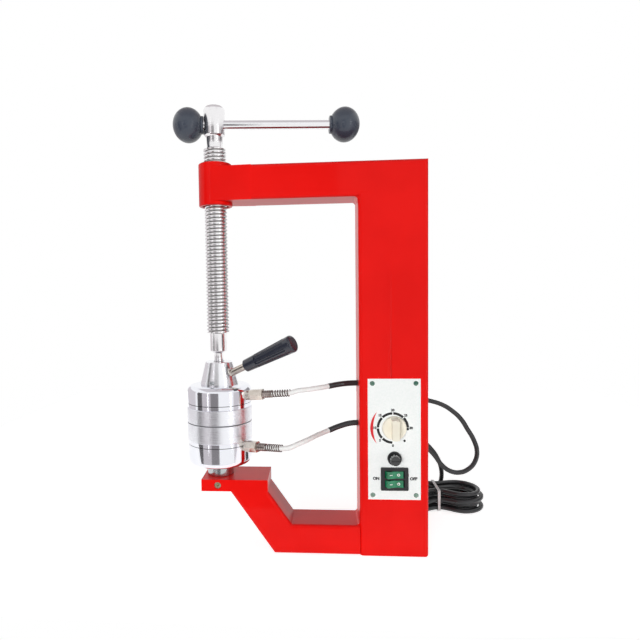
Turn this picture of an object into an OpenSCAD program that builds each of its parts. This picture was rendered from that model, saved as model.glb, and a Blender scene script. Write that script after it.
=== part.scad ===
// Bench press for vulcanizing tyre and tube repairs. A C-shaped steel frame carries a
// threaded spindle that closes two electrically heated heads, and a control panel.
// The origin is the centre of the foot's flat face. The panel faces -Y and +Z is up.

/* [Frame] */
// Length of the flat foot that stands on the bench
base_l = 180; // [160:1:220]
// Height from the bench to the top of the arm
frame_h = 458; // [440:1:540]
// Depth of the frame, front to back
frame_d = 50; // [48:1:64]
// Width of the column seen from the front
col_w = 79; // [76:1:100]
// Distance from the spindle axis to the inner face of the column
throat = 168; // [160:1:200]
// Wall of the box sections
wall = 4; // [3:0.5:5]
// Radius on the long edges of the box sections
edge_r = 4; // [3:0.5:8]
// Height of the upper arm
arm_h = 40; // [36:1:44]
// Height of the foot
foot_h = 35; // [30:1:45]
// Height of the anvil's top face above the bench
anvil_z = 88.5; // [80:0.5:100]
// Thickness of the anvil block
anvil_t = 14; // [12:0.5:18]
// Reach of the anvil block beyond the spindle axis
anvil_nose = 19.5; // [18:0.5:24]
// Length of the anvil block
anvil_l = 79.5; // [76:0.5:90]
// Distance from the spindle axis to the outer edge of the riser, under the anvil
riser_x = 14.5; // [13:0.5:18]
// Radius of the boss that holds the spindle nut
boss_r = 20; // [19.5:0.1:22]
// How far the boss stands above the arm
boss_rise = 6; // [3:0.5:9]
// How far the boss hangs below the arm
boss_drop = 4; // [2:0.5:8]

/* [Spindle] */
// Outside diameter of the spindle thread
thread_d = 27; // [24:0.5:28]
// How far the thread stands above the boss while the heads are closed
thread_above = 19; // [12:1:30]
// Diameter of the smooth end under the thread
pilot_d = 20; // [16:0.5:22]
// Length of the smooth end
pilot_l = 23; // [18:1:28]
// Diameter of the neck above the swivel ball
ball_neck_d = 10.5; // [9:0.5:11]
// Diameter of the swivel ball
ball_d = 17; // [16:0.5:18]
// Diameter of the neck between thread and head
head_neck_d = 19.4; // [17:0.2:22]
// Length of that neck
head_neck_l = 15; // [12:1:20]
// Diameter of the spindle head
head_d = 25; // [23:0.5:28]
// Length of the spindle head
head_l = 34; // [30:1:40]
// Diameter of the sliding bar
bar_d = 10.8; // [8:0.2:12]
// Free length of the bar between its knobs
bar_l = 151; // [120:1:200]
// Diameter of a ball knob
knob_d = 41; // [32:1:46]
// Thickness of a ball knob along the bar, without its collar
knob_t = 34; // [28:1:38]
// Length of the knob's collar
knob_collar_l = 2.5; // [1:0.5:4]

/* [Heads] */
// Radius of the heated plates
plate_r = 39.5; // [39.2:0.1:44]
// Radius of the head covers
cover_r = 38.8; // [37:0.1:39]
// Height of the lower plate
lower_plate_t = 21; // [16:0.5:26]
// Height of the upper plate
upper_plate_t = 18; // [14:0.5:24]
// Height of the lower cover
lower_cover_h = 30; // [27:0.5:34]
// Height of the upper cover
upper_cover_h = 26; // [24:0.5:32]
// Rounding of a cover's outer edge
cover_edge_r = 7; // [4:0.5:9]
// Wall of a cover
cover_wall = 3; // [2:0.5:4]
// Radius of the post under the lower head
post_r = 16; // [14:0.5:18]
// Length of the post between anvil and lower head
post_h = 15.5; // [12:0.5:24]
// Height of the cone hub on the upper head
hub_h = 28; // [26:0.5:32]
// Radius of the cone hub at its foot
hub_foot_r = 22.5; // [20:0.5:24]
// Radius of the cone hub at its top
hub_top_r = 15.5; // [14:0.5:17]
// Gap left between the two plates when the press is closed
closed_gap = 0.3; // [0.1:0.1:0.6]

/* [Handle] */
// Length of the moulded grip
grip_l = 70.5; // [60:0.5:90]
// Radius of the grip at its thin end
grip_thin_r = 7.5; // [6:0.5:8]
// Radius of the grip at its thick end
grip_thick_r = 10.2; // [9:0.2:13]
// Radius of the steel shank
shank_r = 4.4; // [4:0.2:5.4]
// Slope of the handle above the horizontal, degrees
handle_slope = 24.5; // [15:0.5:30]

/* [Connectors] */
// Width across the flats of the connector nut
nut_af = 12; // [10:0.5:13]
// Length of the connector nut
nut_l = 18.5; // [14:0.5:20]
// Radius of the ribbed collar behind the nut
collar_r = 4.5; // [4:0.1:5]
// Length of that collar
collar_l = 11.5; // [8:0.5:12]
// Length of the strain spring
spring_l = 23.5; // [20:0.5:26]
// Thickness of the spring wire
spring_wire = 1.2; // [0.8:0.1:1.3]
// Turns of the strain spring
spring_turns = 7; // [6:1:8]
// Radius of the heater lead
lead_r = 2.9; // [2.4:0.1:3]
// Thickness of the black sleeve over the lead
sleeve_t = 0.5; // [0.3:0.1:0.8]

/* [Panel] */
// Width of the control panel
panel_w = 60; // [56:1:66]
// Height of the control panel
panel_h = 141; // [138:1:160]
// Thickness of the panel plate
panel_t = 1.2; // [0.8:0.1:2]
// Height of the panel's lower edge above the bench
panel_z = 68; // [60:1:80]
// Inset of the panel screws from the plate's edges
screw_inset = 5.3; // [4:0.1:6]
// Height of the timer dial above the panel's lower edge
dial_up = 84; // [80:0.5:90]
// Height of the fuse holder above the panel's lower edge
fuse_up = 48.7; // [46:0.1:50]
// Height of the double switch above the panel's lower edge
switch_up = 24.6; // [22:0.1:26]
// Diameter of the timer knob
timer_knob_d = 28; // [24:1:32]
// Height of the timer knob above the panel
timer_knob_h = 15; // [10:0.5:20]
// Diameter of the fuse cap
fuse_cap_d = 12.6; // [11:0.2:14]
// Width of the switch bezel
bezel_w = 31.3; // [30.5:0.1:34]
// Height of the switch bezel
bezel_h = 26.8; // [26.2:0.1:28]

/* [Power cord] */
// Diameter of the power cord
cord_d = 6.5; // [6:0.1:6.6]
// Height of the cord's exit above the bench
cord_exit_z = 168.5; // [160:0.5:182]

/* [Hidden] */
$fn = 96;

// Clearances and the overrun that cuts share
running_fit = 0.05;
loose_fit = 0.3;
over = 1;
chamfer = 0.8;
fillet_r = 4;
fillet_cut = 0.8;
heel_r = 3.5;

// Places of the frame members
col_right = base_l / 2;
col_left = col_right - col_w;
col_x = (col_left + col_right) / 2;
axis_x = col_left - throat;
arm_z = frame_h - arm_h;
anvil_under = anvil_z - anvil_t;
foot_left = -base_l / 2;
riser_lean = atan((foot_left - axis_x - riser_x) / anvil_under);
riser_w = anvil_l - anvil_nose - riser_x;
riser_t = riser_w * cos(riser_lean);
foot_bend_x = axis_x + riser_x + riser_w + (anvil_under - foot_h) * tan(riser_lean);
nose_l = 46;

// Heights of the two heads, from the anvil up
lower_cover_z = anvil_z + post_h;
lower_plate_z = lower_cover_z + lower_cover_h;
contact_z = lower_plate_z + lower_plate_t;
upper_plate_z = contact_z + closed_gap;
upper_cover_z = upper_plate_z + upper_plate_t;
hub_z = upper_cover_z + upper_cover_h;
hub_top_z = hub_z + hub_h;

// Swivel ball, its seat and the spindle above it
ball_r = ball_d / 2;
mouth_gap = 1.2;
mouth_r = ball_neck_d / 2 + mouth_gap;
ball_up = 12.3;
ball_z = hub_z + ball_up;
shoulder_z = ball_z + sqrt(ball_r * ball_r - mouth_r * mouth_r) + loose_fit;
socket_gap = 1.1;
socket_r = ball_r + socket_gap;
seat_r = socket_r - running_fit;
seat_drop = 2.6;
seat_top_z = ball_z - seat_drop;
thread_r = thread_d / 2;
neck_above_hub = 11.7;
pilot_z = hub_top_z + neck_above_hub;
thread_z = pilot_z + pilot_l;
thread_top_z = frame_h + boss_rise + thread_above;
thread_l = thread_top_z - thread_z;
head_z = thread_top_z + head_neck_l;
spindle_top_z = head_z + head_l;
bar_up = 13;
bar_z = head_z + bar_up;
nut_wall = 3.5;
nut_insert_r = thread_r + nut_wall;
nut_recess = 3;
nut_lip = 1.2;
knob_collar_r = 10.5;
knob_face = head_d / 2 + loose_fit;
knob_bulge = 1.5;
bar_turn = 6;

// Heads inside
spigot_r = cover_r - cover_wall - running_fit;
spigot_h = 5;
heater_r = 21;
heater_hole_r = 10;
heater_t = 5;
board_r = 31;
board_t = 6;
sensor_r = 5.5;
sensor_at = 28;
sensor_t = 4.7;
roof_t = 4;
post_pin_r = 8;
post_nut_r = 13;
post_nut_t = 7;
hub_screw_at = 16.2;
hub_screw_r = 2;
hub_screw_head_r = 3.5;
hub_screw_head_t = 3;
hub_screw_reach = 8;

// Handle on the hub
handle_turn = -25;
shank_up = 6.3;
lug_w = 19;
lug_proud = 1.2;
shank_start = (socket_r + over + shank_r * sin(handle_slope)) / cos(handle_slope);
spot_r = 5.8;
grip_start = 43;
grip_socket = 22;
groove_count = 8;
groove_r = 1.6;
grip_dome = 3;

// Connectors on the two heads
upper_port_turn = -15;
upper_port_up = 14;
upper_port_slope = 5.5;
lower_port_turn = -30;
lower_port_up = 23.8;
lower_port_slope = 5.5;
port_r = 4.2;
port_flange_r = 6;
port_flange_t = 2;
port_shank_l = cover_wall + port_flange_t - 2 * loose_fit;
spring_r = collar_r - spring_wire / 2 - 2 * running_fit;
rib_depth = 0.5;
rib_count = 4;

// Panel parts behind and before the plate
front_y = -frame_d / 2;
panel_front_y = front_y - panel_t;
dial_z = panel_z + dial_up;
fuse_z = panel_z + fuse_up;
switch_z = panel_z + switch_up;
window_w = 44;
window_margin = 10.5;
screw_r = 1.5;
screw_head_r = 2.8;
screw_head_t = 1.8;
screw_l = 8;
timer_w = 42;
timer_t = 24;
timer_bush_r = 4.5;
timer_bush_l = 4;
timer_shaft_r = 3;
timer_shaft_l = 14;
skirt_t = 3;
skirt_gap = 0.8;
grip_bar_w = 8;
fuse_flange_r = 8;
fuse_flange_t = 2.5;
fuse_barrel_r = 6.3;
fuse_barrel_l = 32;
fuse_plug_r = 4.6;
fuse_plug_l = 8;
fuse_cap_l = 9;
fuse_r = 2.6;
fuse_l = 20;
fuse_hold = 4;
bezel_t = 2.2;
switch_body_w = 27.2;
switch_body_h = 22.6;
switch_body_t = 22;
rocker_h = 8.2;
rocker_pitch = 10.6;
rocker_r = 11;
rocker_tilt = 10;
rocker_pivot = 4.5;
rocker_proud = 0.6;
rocker_back = 3;
rocker_pin_r = 1.25;
rocker_pin_l = 0.8;
bay_w = 2 * (rocker_r + loose_fit);
bay_h = rocker_h + 2 * loose_fit;
bay_depth = rocker_pivot + rocker_r * sin(rocker_tilt) + rocker_back + loose_fit;

// Lead and cord openings in the column
upper_lead_z = 200;
lower_lead_z = 152;
bush_r = 5;
bush_lip_r = 6.5;
bush_lip_t = 1.5;
gland_collar_r = 9;
gland_collar_t = 3;
gland_thread_r = 6.5;
gland_sleeve_l = 26;
gland_tip_r = 4.6;
gland_nut_t = 4;

// Places on the heater leads, from a port's end to the column, with x from the column's face
upper_lead_points = [[-71, -25, 195], [-61, -23.5, 196], [-49, -19, 197], [-35, -12, 198.2]];
upper_sleeve_points = [[-21, -5, 199.5], [-8, -0.8, 200]];
lower_lead_points = [
    [-81, -48, 134.4], [-71.5, -44.5, 137.4], [-61, -36, 139.8], [-48.5, -20, 141.8],
    [-35, -8, 144.3]
];
lower_sleeve_points = [[-21, -2, 148.4], [-8, -0.4, 151.4]];

// Places along the power cord from its gland to the hank, with x from the column's middle
cord_r = cord_d / 2;
cord_stub = 2;
cord_points = [
    [0.4, 66, 168.4], [4.7, 79, 167.9], [13.4, 89.8, 167.3], [26.5, 98, 165.8],
    [45.5, 102.5, 161.9], [66, 104, 158], [84.9, 105.5, 151.9], [100, 107, 142.2],
    [111.5, 108, 131], [120.5, 108.5, 116.6], [129.2, 108.6, 101.3], [133.4, 107.7, 85.1],
    [130, 106.2, 71.4], [121, 104.6, 61.6], [108.5, 102.8, 57.3], [95.2, 101.1, 59.7],
    [82.8, 99.4, 69.2], [73.5, 97, 82.1], [62.5, 93.5, 94], [49, 91.6, 103.5],
    [33.7, 95.2, 109.5], [22.2, 105.6, 111.5], [17, 119.8, 110.5], [19.1, 135, 107.5],
    [28.1, 148.3, 103], [42.1, 157.9, 98], [58, 162.9, 91.3], [72.3, 165, 82.4],
    [83.5, 165.3, 71.3], [91.9, 165.3, 59], [97.1, 165.3, 45.3], [98.6, 165.3, 31.5],
    [96.5, 165.3, 20.9], [90.7, 165.3, 11.9], [81.8, 165.3, 6], [71.5, 165.3, 3.7],
    [59.5, 165.3, 3.3]
];

// Hank: loops drawn in at the waist, wound in and out again in four layers
hank_at = [81.5, 131];
hank_half_run = 34;
hank_inner_r = 19.5;
hank_step = 7.9;
hank_draw = 11;
hank_layer = 6.95;
hank_spiral = 1.5;
hank_from = -0.375;
hank_to = 5.6;
hank_rings = 24;
tie_t = 1;
tie_w = 3.5;
tie_lift = tie_t + loose_fit;

// Places along the last stretch, from the hank to the plug
tail_points = [
    [43.9, 162, 23.3], [32.9, 161.6, 20.6], [21.9, 156.6, 16.8], [11.7, 146.9, 14.1],
    [3.9, 133.6, 13.7], [0.1, 119.8, 14.8]
];
plug_at = [0, 108];
plug_z = 15;
plug_sleeve_l = 26;
plug_neck_r = 5;
plug_body_l = 16;
plug_body_r = 14.5;
plug_face_l = 10;
pin_r = 2.4;
pin_l = 19;
pin_gap = 19;

function unit(v) = v / norm(v);
function clamp01(x) = min(1, max(0, x));
function ease(x) = clamp01(x) * clamp01(x) * (3 - 2 * clamp01(x));

// Tangents between a path's guides, and normals that turn with it as little as they can
function tangents(p) = [for (i = [1 : len(p) - 2]) unit(p[i + 1] - p[i - 1])];
function first_normal(t) = unit(cross(t, abs(t.z) < 0.8 ? [0, 0, 1] : [0, 1, 0]));
function normals(t) = [
    for (
        i = 0, u = first_normal(t[0]);
        i < len(t);
        i = i + 1, u = i < len(t) ? unit(u - t[i] * (u * t[i])) : u
    ) u
];

// Closed tube of n sides along a path, whose first and last places only guide its ends
module tube(p, r, n) {
    t = tangents(p);
    u = normals(t);
    points = [
        for (i = [0 : len(t) - 1], j = [0 : n - 1])
            p[i + 1] + r * (cos(360 * j / n) * u[i] + sin(360 * j / n) * cross(t[i], u[i]))
    ];
    last = (len(t) - 1) * n;
    sides = [
        for (i = [0 : len(t) - 2], j = [0 : n - 1], half = [0, 1])
            let (a = i * n + j, b = i * n + (j + 1) % n)
                half == 0 ? [a, a + n, b + n] : [a, b + n, b]
    ];
    caps = concat(
        [for (j = [1 : n - 2]) [0, j, j + 1]],
        [for (j = [1 : n - 2]) [last, last + j + 1, last + j]]
    );
    polyhedron(points, concat(sides, caps), convexity = 10);
}

// Smooth curve between a path's guides, with k steps to each stretch
function curve_point(a, b, c, d, s) = 0.5 * (
    2 * b + (c - a) * s + (2 * a - 5 * b + 4 * c - d) * s * s
    + (3 * b - a - 3 * c + d) * s * s * s
);
function smooth(p, k) = [
    for (i = [1 : len(p) - 3], j = [0 : k - 1])
        curve_point(p[i - 1], p[i], p[i + 1], p[i + 2], j / k),
    p[len(p) - 2]
];
function stretch(p, first, last) = [for (i = [first : last]) p[i]];
function moved_x(p, x) = [for (q = p) q + [x, 0, 0]];

// Least gap between stretches of a wound tube, measured on its points
function least_gap(p, d, apart) = min([
    for (i = [0 : len(p) - 1], j = [i + apart : 1 : len(p) - 1]) norm(p[i] - p[j])
]) - d;

// One loop of the hank at position t, counted in turns from the middle of the front run
function waist(x) = 0.5 + 0.5 * cos(180 * min(1, abs(x) / hank_half_run));
function spiral_in(t) =
    t < 0 ? hank_spiral - t
    : abs(hank_spiral - (t - 2 * hank_spiral * floor(t / (2 * hank_spiral))));
function loop_r(t) = hank_inner_r + hank_step * spiral_in(t);
function climbed(t) = hank_layer * (
    ease(2 * (t - hank_spiral) + 0.5) + ease(2 * (t - 2 * hank_spiral) + 0.5)
    + ease(2 * (t - 3 * hank_spiral) + 0.5)
);
function loop_xy(t, r) =
    let (u = t - floor(t), a = hank_half_run)
    u < 1 / 8 ? [8 * a * u, -r + hank_draw * waist(8 * a * u)]
    : u < 3 / 8 ? [a + r * cos(720 * u - 180), r * sin(720 * u - 180)]
    : u < 5 / 8 ? let (x = 4 * a - 8 * a * u) [x, r - hank_draw * waist(x)]
    : u < 7 / 8 ? [-a + r * cos(720 * u - 360), r * sin(720 * u - 360)]
    : let (x = 8 * a * (u - 1)) [x, -r + hank_draw * waist(x)];
function hank_point(t) =
    let (q = loop_xy(t, loop_r(t)))
    [col_x + hank_at.x + q.x, hank_at.y + q.y, cord_r + climbed(t) + tie_lift * waist(q.x)];
hank_count = floor((hank_to - hank_from) * hank_rings);
hank_path = [
    for (i = [0 : hank_count]) hank_point(hank_from + (hank_to - hank_from) * i / hank_count)
];

// Strain spring along +X from the collar's end
spring_rings = 8;
spring_path = concat(
    [[-over, 0, spring_r], [0, 0, spring_r]],
    [
        for (i = [0 : spring_turns * spring_rings])
            let (s = i / (spring_turns * spring_rings), turn = 360 * i / spring_rings)
                [
                    spring_wire + s * (spring_l - 2 * spring_wire),
                    spring_r * sin(turn),
                    spring_r * cos(turn)
                ]
    ],
    [[spring_l, 0, spring_r], [spring_l + over, 0, spring_r]]
);

// Places children on the spindle axis at height z
module at_axis(z) {
    translate([axis_x, 0, z]) children();
}

// Rectangle with round corners, centred
module rounded_rect(w, h, r) {
    square([w - 2 * r, h], center = true);
    square([w, h - 2 * r], center = true);
    for (x = [-1, 1], y = [-1, 1])
        translate([x * (w / 2 - r), y * (h / 2 - r)]) circle(r);
}

// Box section with round long edges, standing on its end
module box_section(w, d, l) {
    linear_extrude(l)
        difference() {
            rounded_rect(w, d, edge_r);
            square([w - 2 * wall, d - 2 * wall], center = true);
        }
}

// Slab that covers the frame's depth, from an outline in x and z
module slab(points) {
    translate([0, frame_d / 2 + over, 0])
        rotate([90, 0, 0]) linear_extrude(frame_d + 2 * over) polygon(points);
}

// Cylinder that points to the front from height z at x
module to_front(x, y, z, r, l) {
    translate([x, y, z]) rotate([90, 0, 0]) cylinder(r = r, h = l);
}

// Weld fillet in the corner left of a wall at x and below z
module weld_fillet(x, z) {
    translate([x, 0, z])
        rotate([90, 0, 0])
            linear_extrude(frame_d - 2 * edge_r, center = true)
                difference() {
                    translate([-fillet_r * fillet_cut, -fillet_r * fillet_cut])
                        square([fillet_r * fillet_cut + over, fillet_r * fillet_cut]);
                    translate([-fillet_r, -fillet_r]) circle(fillet_r);
                }
}

// Frame weldment

module column() {
    color("red")
        difference() {
            union() {
                translate([col_x, 0, 0]) box_section(col_w, frame_d, frame_h);
                translate([col_left + wall / 2, front_y + wall / 2, 0])
                    cube([col_w - wall, frame_d - wall, wall]);
                weld_fillet(col_left, arm_z);
                mirror([0, 0, 1]) weld_fillet(col_left, -foot_h);
            }
            translate([col_right - heel_r, 0, heel_r])
                rotate([90, 0, 0])
                    linear_extrude(frame_d + 2 * over, center = true)
                        difference() {
                            translate([0, -heel_r - over]) square(heel_r + over);
                            circle(heel_r);
                        }
            slab([
                [col_left - over, arm_z], [col_left, arm_z], [col_right, frame_h],
                [col_right, frame_h + over], [col_left - over, frame_h + over]
            ]);
            translate([col_x - window_w / 2, front_y - over, panel_z + window_margin])
                cube([window_w, wall + 2 * over, panel_h - 2 * window_margin]);
            panel_screw_places()
                to_front(0, wall + over, 0, screw_r + running_fit, wall + 2 * over);
            for (z = [upper_lead_z, lower_lead_z])
                translate([col_left - over, 0, z])
                    rotate([0, 90, 0]) cylinder(r = bush_r + running_fit, h = wall + 2 * over);
            to_front(
                col_x, frame_d / 2 + over, cord_exit_z,
                gland_thread_r + running_fit, wall + 2 * over
            );
        }
}

module upper_arm() {
    arm_l = col_right - axis_x - nose_l;
    color("red")
        difference() {
            union() {
                translate([axis_x + nose_l, 0, arm_z + arm_h / 2])
                    rotate([90, 0, 90]) box_section(frame_d, arm_h, arm_l);
                at_axis(arm_z)
                    linear_extrude(arm_h)
                        polygon([
                            [0, -boss_r], [nose_l, front_y + edge_r / 2],
                            [nose_l, -front_y - edge_r / 2], [0, boss_r]
                        ]);
            }
            at_axis(arm_z - over) cylinder(r = boss_r, h = arm_h + 2 * over);
            slab([
                [col_left, arm_z], [col_left, arm_z - over], [col_right + over, arm_z - over],
                [col_right + over, frame_h], [col_right, frame_h]
            ]);
        }
}

module screw_boss() {
    boss_h = boss_drop + arm_h + boss_rise;
    color("red")
        at_axis(arm_z - boss_drop)
            rotate_extrude()
                polygon([
                    [nut_insert_r - nut_lip, 0], [boss_r - chamfer, 0], [boss_r, chamfer],
                    [boss_r, boss_h - chamfer], [boss_r - chamfer, boss_h],
                    [nut_insert_r - nut_lip, boss_h], [nut_insert_r - nut_lip, boss_h - nut_recess],
                    [nut_insert_r, boss_h - nut_recess], [nut_insert_r, nut_recess],
                    [nut_insert_r - nut_lip, nut_recess]
                ]);
}

module boss_nut() {
    insert_h = boss_drop + arm_h + boss_rise - 2 * nut_recess;
    color("goldenrod")
        at_axis(arm_z - boss_drop + nut_recess)
            difference() {
                cylinder(r = nut_insert_r, h = insert_h);
                translate([0, 0, -over])
                    cylinder(r = thread_r + running_fit, h = insert_h + 2 * over);
            }
}

module foot_beam() {
    color("red")
        difference() {
            translate([foot_left, 0, foot_h / 2])
                rotate([90, 0, 90]) box_section(frame_d, foot_h, col_left - foot_left);
            slab([
                [foot_left - over, -over], [foot_left, -over], [foot_left, 0],
                [foot_bend_x, foot_h], [foot_bend_x, foot_h + over],
                [foot_left - over, foot_h + over]
            ]);
        }
}

module riser() {
    riser_l = anvil_under / cos(riser_lean);
    color("red")
        intersection() {
            translate([foot_left, 0, 0])
                rotate([0, -riser_lean, 0])
                    translate([riser_t / 2, 0, -riser_w])
                        box_section(riser_t, frame_d, riser_l + 2 * riser_w);
            slab([
                [foot_left, 0], [foot_bend_x, foot_h], [foot_bend_x, anvil_under],
                [axis_x, anvil_under], [axis_x, 0]
            ]);
        }
}

module anvil_block() {
    color("red")
        difference() {
            translate([axis_x - anvil_nose, front_y, anvil_under])
                cube([anvil_l, frame_d, anvil_t]);
            at_axis(anvil_under - over)
                cylinder(r = post_pin_r + running_fit, h = anvil_t + 2 * over);
            to_front(
                axis_x, -post_pin_r / 2, anvil_z - anvil_t / 2,
                set_screw_r + running_fit, frame_d / 2
            );
        }
}

set_screw_r = 4;
set_screw_recess = 1.5;

module anvil_set_screw() {
    screw_end = -post_pin_r - running_fit;
    head_y = front_y + set_screw_recess;
    color("khaki")
        difference() {
            to_front(
                axis_x, screw_end, anvil_z - anvil_t / 2, set_screw_r, screw_end - head_y
            );
            translate([axis_x, head_y + set_screw_r, anvil_z - anvil_t / 2])
                rotate([90, 0, 0]) cylinder(r = set_screw_r / 2, h = set_screw_r + over, $fn = 6);
        }
}

// Lower head and its post

module lower_post() {
    color("silver")
        at_axis(anvil_z)
            rotate_extrude()
                polygon([
                    [0, -anvil_t + chamfer], [post_pin_r - chamfer, -anvil_t + chamfer],
                    [post_pin_r, -anvil_t + 2 * chamfer], [post_pin_r, 0],
                    [post_r - chamfer, 0], [post_r, chamfer], [post_r, post_h - chamfer],
                    [post_r - chamfer, post_h], [post_pin_r, post_h],
                    [post_pin_r, post_h + roof_t + post_nut_t + chamfer],
                    [0, post_h + roof_t + post_nut_t + chamfer]
                ]);
}

module post_nut() {
    color("silver")
        at_axis(lower_cover_z + roof_t)
            difference() {
                cylinder(r = post_nut_r, h = post_nut_t, $fn = 6);
                translate([0, 0, -over])
                    cylinder(r = post_pin_r + running_fit, h = post_nut_t + 2 * over, $fn = 96);
            }
}

// Turned cup with a rounded outer edge, its floor at z = 0 and its rim at the top
module cover_cup(h) {
    inner_r = cover_r - cover_wall;
    rotate_extrude()
        difference() {
            union() {
                square([cover_r - cover_edge_r, h]);
                translate([0, cover_edge_r]) square([cover_r, h - cover_edge_r]);
                translate([cover_r - cover_edge_r, cover_edge_r]) circle(cover_edge_r);
            }
            translate([0, roof_t + cover_edge_r / 2])
                square([inner_r, h - roof_t - cover_edge_r / 2 + over]);
            translate([0, roof_t]) square([inner_r - cover_edge_r / 2, cover_edge_r]);
            translate([-2 * cover_r, -over]) square([2 * cover_r, h + 2 * over]);
        }
}

// Puts children in a port's frame: +X runs out of the cover along the connector
module at_port(base_z, up, turn, slope) {
    at_axis(base_z + up)
        rotate([0, 0, turn])
            translate([cover_r, 0, 0]) rotate([0, -slope, 0]) children();
}

module at_lower_port() {
    at_port(lower_cover_z, lower_port_up, lower_port_turn, lower_port_slope) children();
}

module at_upper_port() {
    at_port(upper_cover_z, upper_port_up, upper_port_turn, upper_port_slope) children();
}

module port_bore() {
    translate([-2 * cover_wall, 0, 0])
        rotate([0, 90, 0]) cylinder(r = port_r + running_fit, h = 4 * cover_wall);
}

module lower_cover() {
    color("gainsboro")
        difference() {
            at_axis(lower_cover_z) cover_cup(lower_cover_h);
            at_axis(lower_cover_z - over)
                cylinder(r = post_pin_r + running_fit, h = roof_t + 2 * over);
            at_lower_port() port_bore();
        }
}

// Heated plate with the spigot that centres its cover, working face at z = 0
module heated_plate(t) {
    rotate_extrude()
        polygon([
            [0, 0], [plate_r - chamfer, 0], [plate_r, chamfer], [plate_r, t - chamfer / 2],
            [plate_r - chamfer / 2, t], [spigot_r, t], [spigot_r, t + spigot_h],
            [0, t + spigot_h]
        ]);
}

module heater_ring() {
    difference() {
        cylinder(r = heater_r, h = heater_t);
        translate([0, 0, -over]) cylinder(r = heater_hole_r, h = heater_t + 2 * over);
    }
}

module insulation_board() {
    difference() {
        cylinder(r = board_r, h = board_t);
        translate([0, 0, -over]) cylinder(r = post_nut_r + over, h = board_t + 2 * over);
    }
}

module sensor_disc() {
    translate([-sensor_at, 0, 0]) cylinder(r = sensor_r, h = sensor_t);
}

// The lower head hangs upside down from its working face
module lower_side() {
    at_axis(contact_z) mirror([0, 0, 1]) children();
}

module above_lower_plate(z) {
    lower_side() translate([0, 0, lower_plate_t + spigot_h + z]) children();
}

module lower_plate() {
    color("lightgray") lower_side() heated_plate(lower_plate_t);
}

module lower_heater() {
    color("saddlebrown") above_lower_plate(0) heater_ring();
}

module lower_insulation() {
    color("ivory") above_lower_plate(heater_t) insulation_board();
}

module lower_thermostat() {
    color("dimgray") above_lower_plate(0) sensor_disc();
}

// Connector pieces along +X from the cover's surface

// The flange is hollowed to the cover's round wall, so that it seats on it all round
module connector_nut(slope) {
    difference() {
        rotate([0, 90, 0]) {
            translate([0, 0, -port_flange_t]) cylinder(r = port_flange_r, h = 2 * port_flange_t);
            translate([0, 0, port_flange_t])
                rotate([0, 0, 30])
                    cylinder(d = nut_af / cos(30), h = nut_l - port_flange_t, $fn = 6);
        }
        rotate([0, slope, 0])
            translate([-cover_r, 0, 0])
                cylinder(r = cover_r + running_fit, h = 4 * port_flange_r, center = true);
    }
    rotate([0, 90, 0])
        translate([0, 0, port_flange_t - port_shank_l]) cylinder(r = port_r, h = port_shank_l);
}

module connector_collar() {
    rib = collar_l / (2 * rib_count + 1);
    translate([nut_l, 0, 0])
        rotate([0, 90, 0])
            difference() {
                cylinder(r = collar_r, h = collar_l);
                for (i = [1 : rib_count])
                    translate([0, 0, (2 * i - 1) * rib])
                        difference() {
                            cylinder(r = collar_r + over, h = rib);
                            translate([0, 0, -over])
                                cylinder(r = collar_r - rib_depth, h = rib + 2 * over);
                        }
            }
}

module connector_spring() {
    translate([nut_l + collar_l, 0, 0]) tube(spring_path, spring_wire / 2, 6);
}

module lower_connector_nut() {
    color("tan") at_lower_port() connector_nut(lower_port_slope);
}

module lower_connector_collar() {
    color("rosybrown") at_lower_port() connector_collar();
}

module lower_connector_spring() {
    color("silver") at_lower_port() connector_spring();
}

// Point at distance l along a port's axis, for the lead that starts there
function port_point(base_z, up, turn, slope, l) =
    let (out = cover_r + l * cos(slope))
    [axis_x + out * cos(turn), out * sin(turn), base_z + up + l * sin(slope)];
function lower_port_point(l) = port_point(
    lower_cover_z, lower_port_up, lower_port_turn, lower_port_slope, l
);
function upper_port_point(l) = port_point(
    upper_cover_z, upper_port_up, upper_port_turn, upper_port_slope, l
);
lead_start = nut_l + collar_l;
lead_free = lead_start + spring_l;
lead_steps = 3;
lead_inside = wall + 2 * bush_lip_t;

// A lead's whole route, with a guide at both ends, and the place in it where its sleeve starts
function lead_route(back, start, free, lead, sleeve, z) = concat(
    [back, start],
    smooth(
        concat(
            [start, free], moved_x(lead, col_left), moved_x(sleeve, col_left),
            [[col_left + lead_inside, 0, z], [col_left + 2 * lead_inside, 0, z]]
        ),
        lead_steps
    ),
    [[col_left + 2 * lead_inside, 0, z]]
);
function sleeve_from(lead) = 2 + len(lead) * lead_steps;
lower_lead_route = lead_route(
    lower_port_point(0), lower_port_point(lead_start), lower_port_point(lead_free),
    lower_lead_points, lower_sleeve_points, lower_lead_z
);
upper_lead_route = lead_route(
    upper_port_point(0), upper_port_point(lead_start), upper_port_point(lead_free),
    upper_lead_points, upper_sleeve_points, upper_lead_z
);

module lead(route, points) {
    color("white") tube(stretch(route, 0, sleeve_from(points) + 1), lead_r, 10);
}

module lead_sleeve(route, points) {
    color("black")
        tube(stretch(route, sleeve_from(points) - 1, len(route) - 1), lead_r + sleeve_t, 10);
}

module lower_lead() {
    lead(lower_lead_route, lower_lead_points);
}

module lower_lead_sleeve() {
    lead_sleeve(lower_lead_route, lower_lead_points);
}

module upper_lead() {
    lead(upper_lead_route, upper_lead_points);
}

module upper_lead_sleeve() {
    lead_sleeve(upper_lead_route, upper_lead_points);
}

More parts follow.
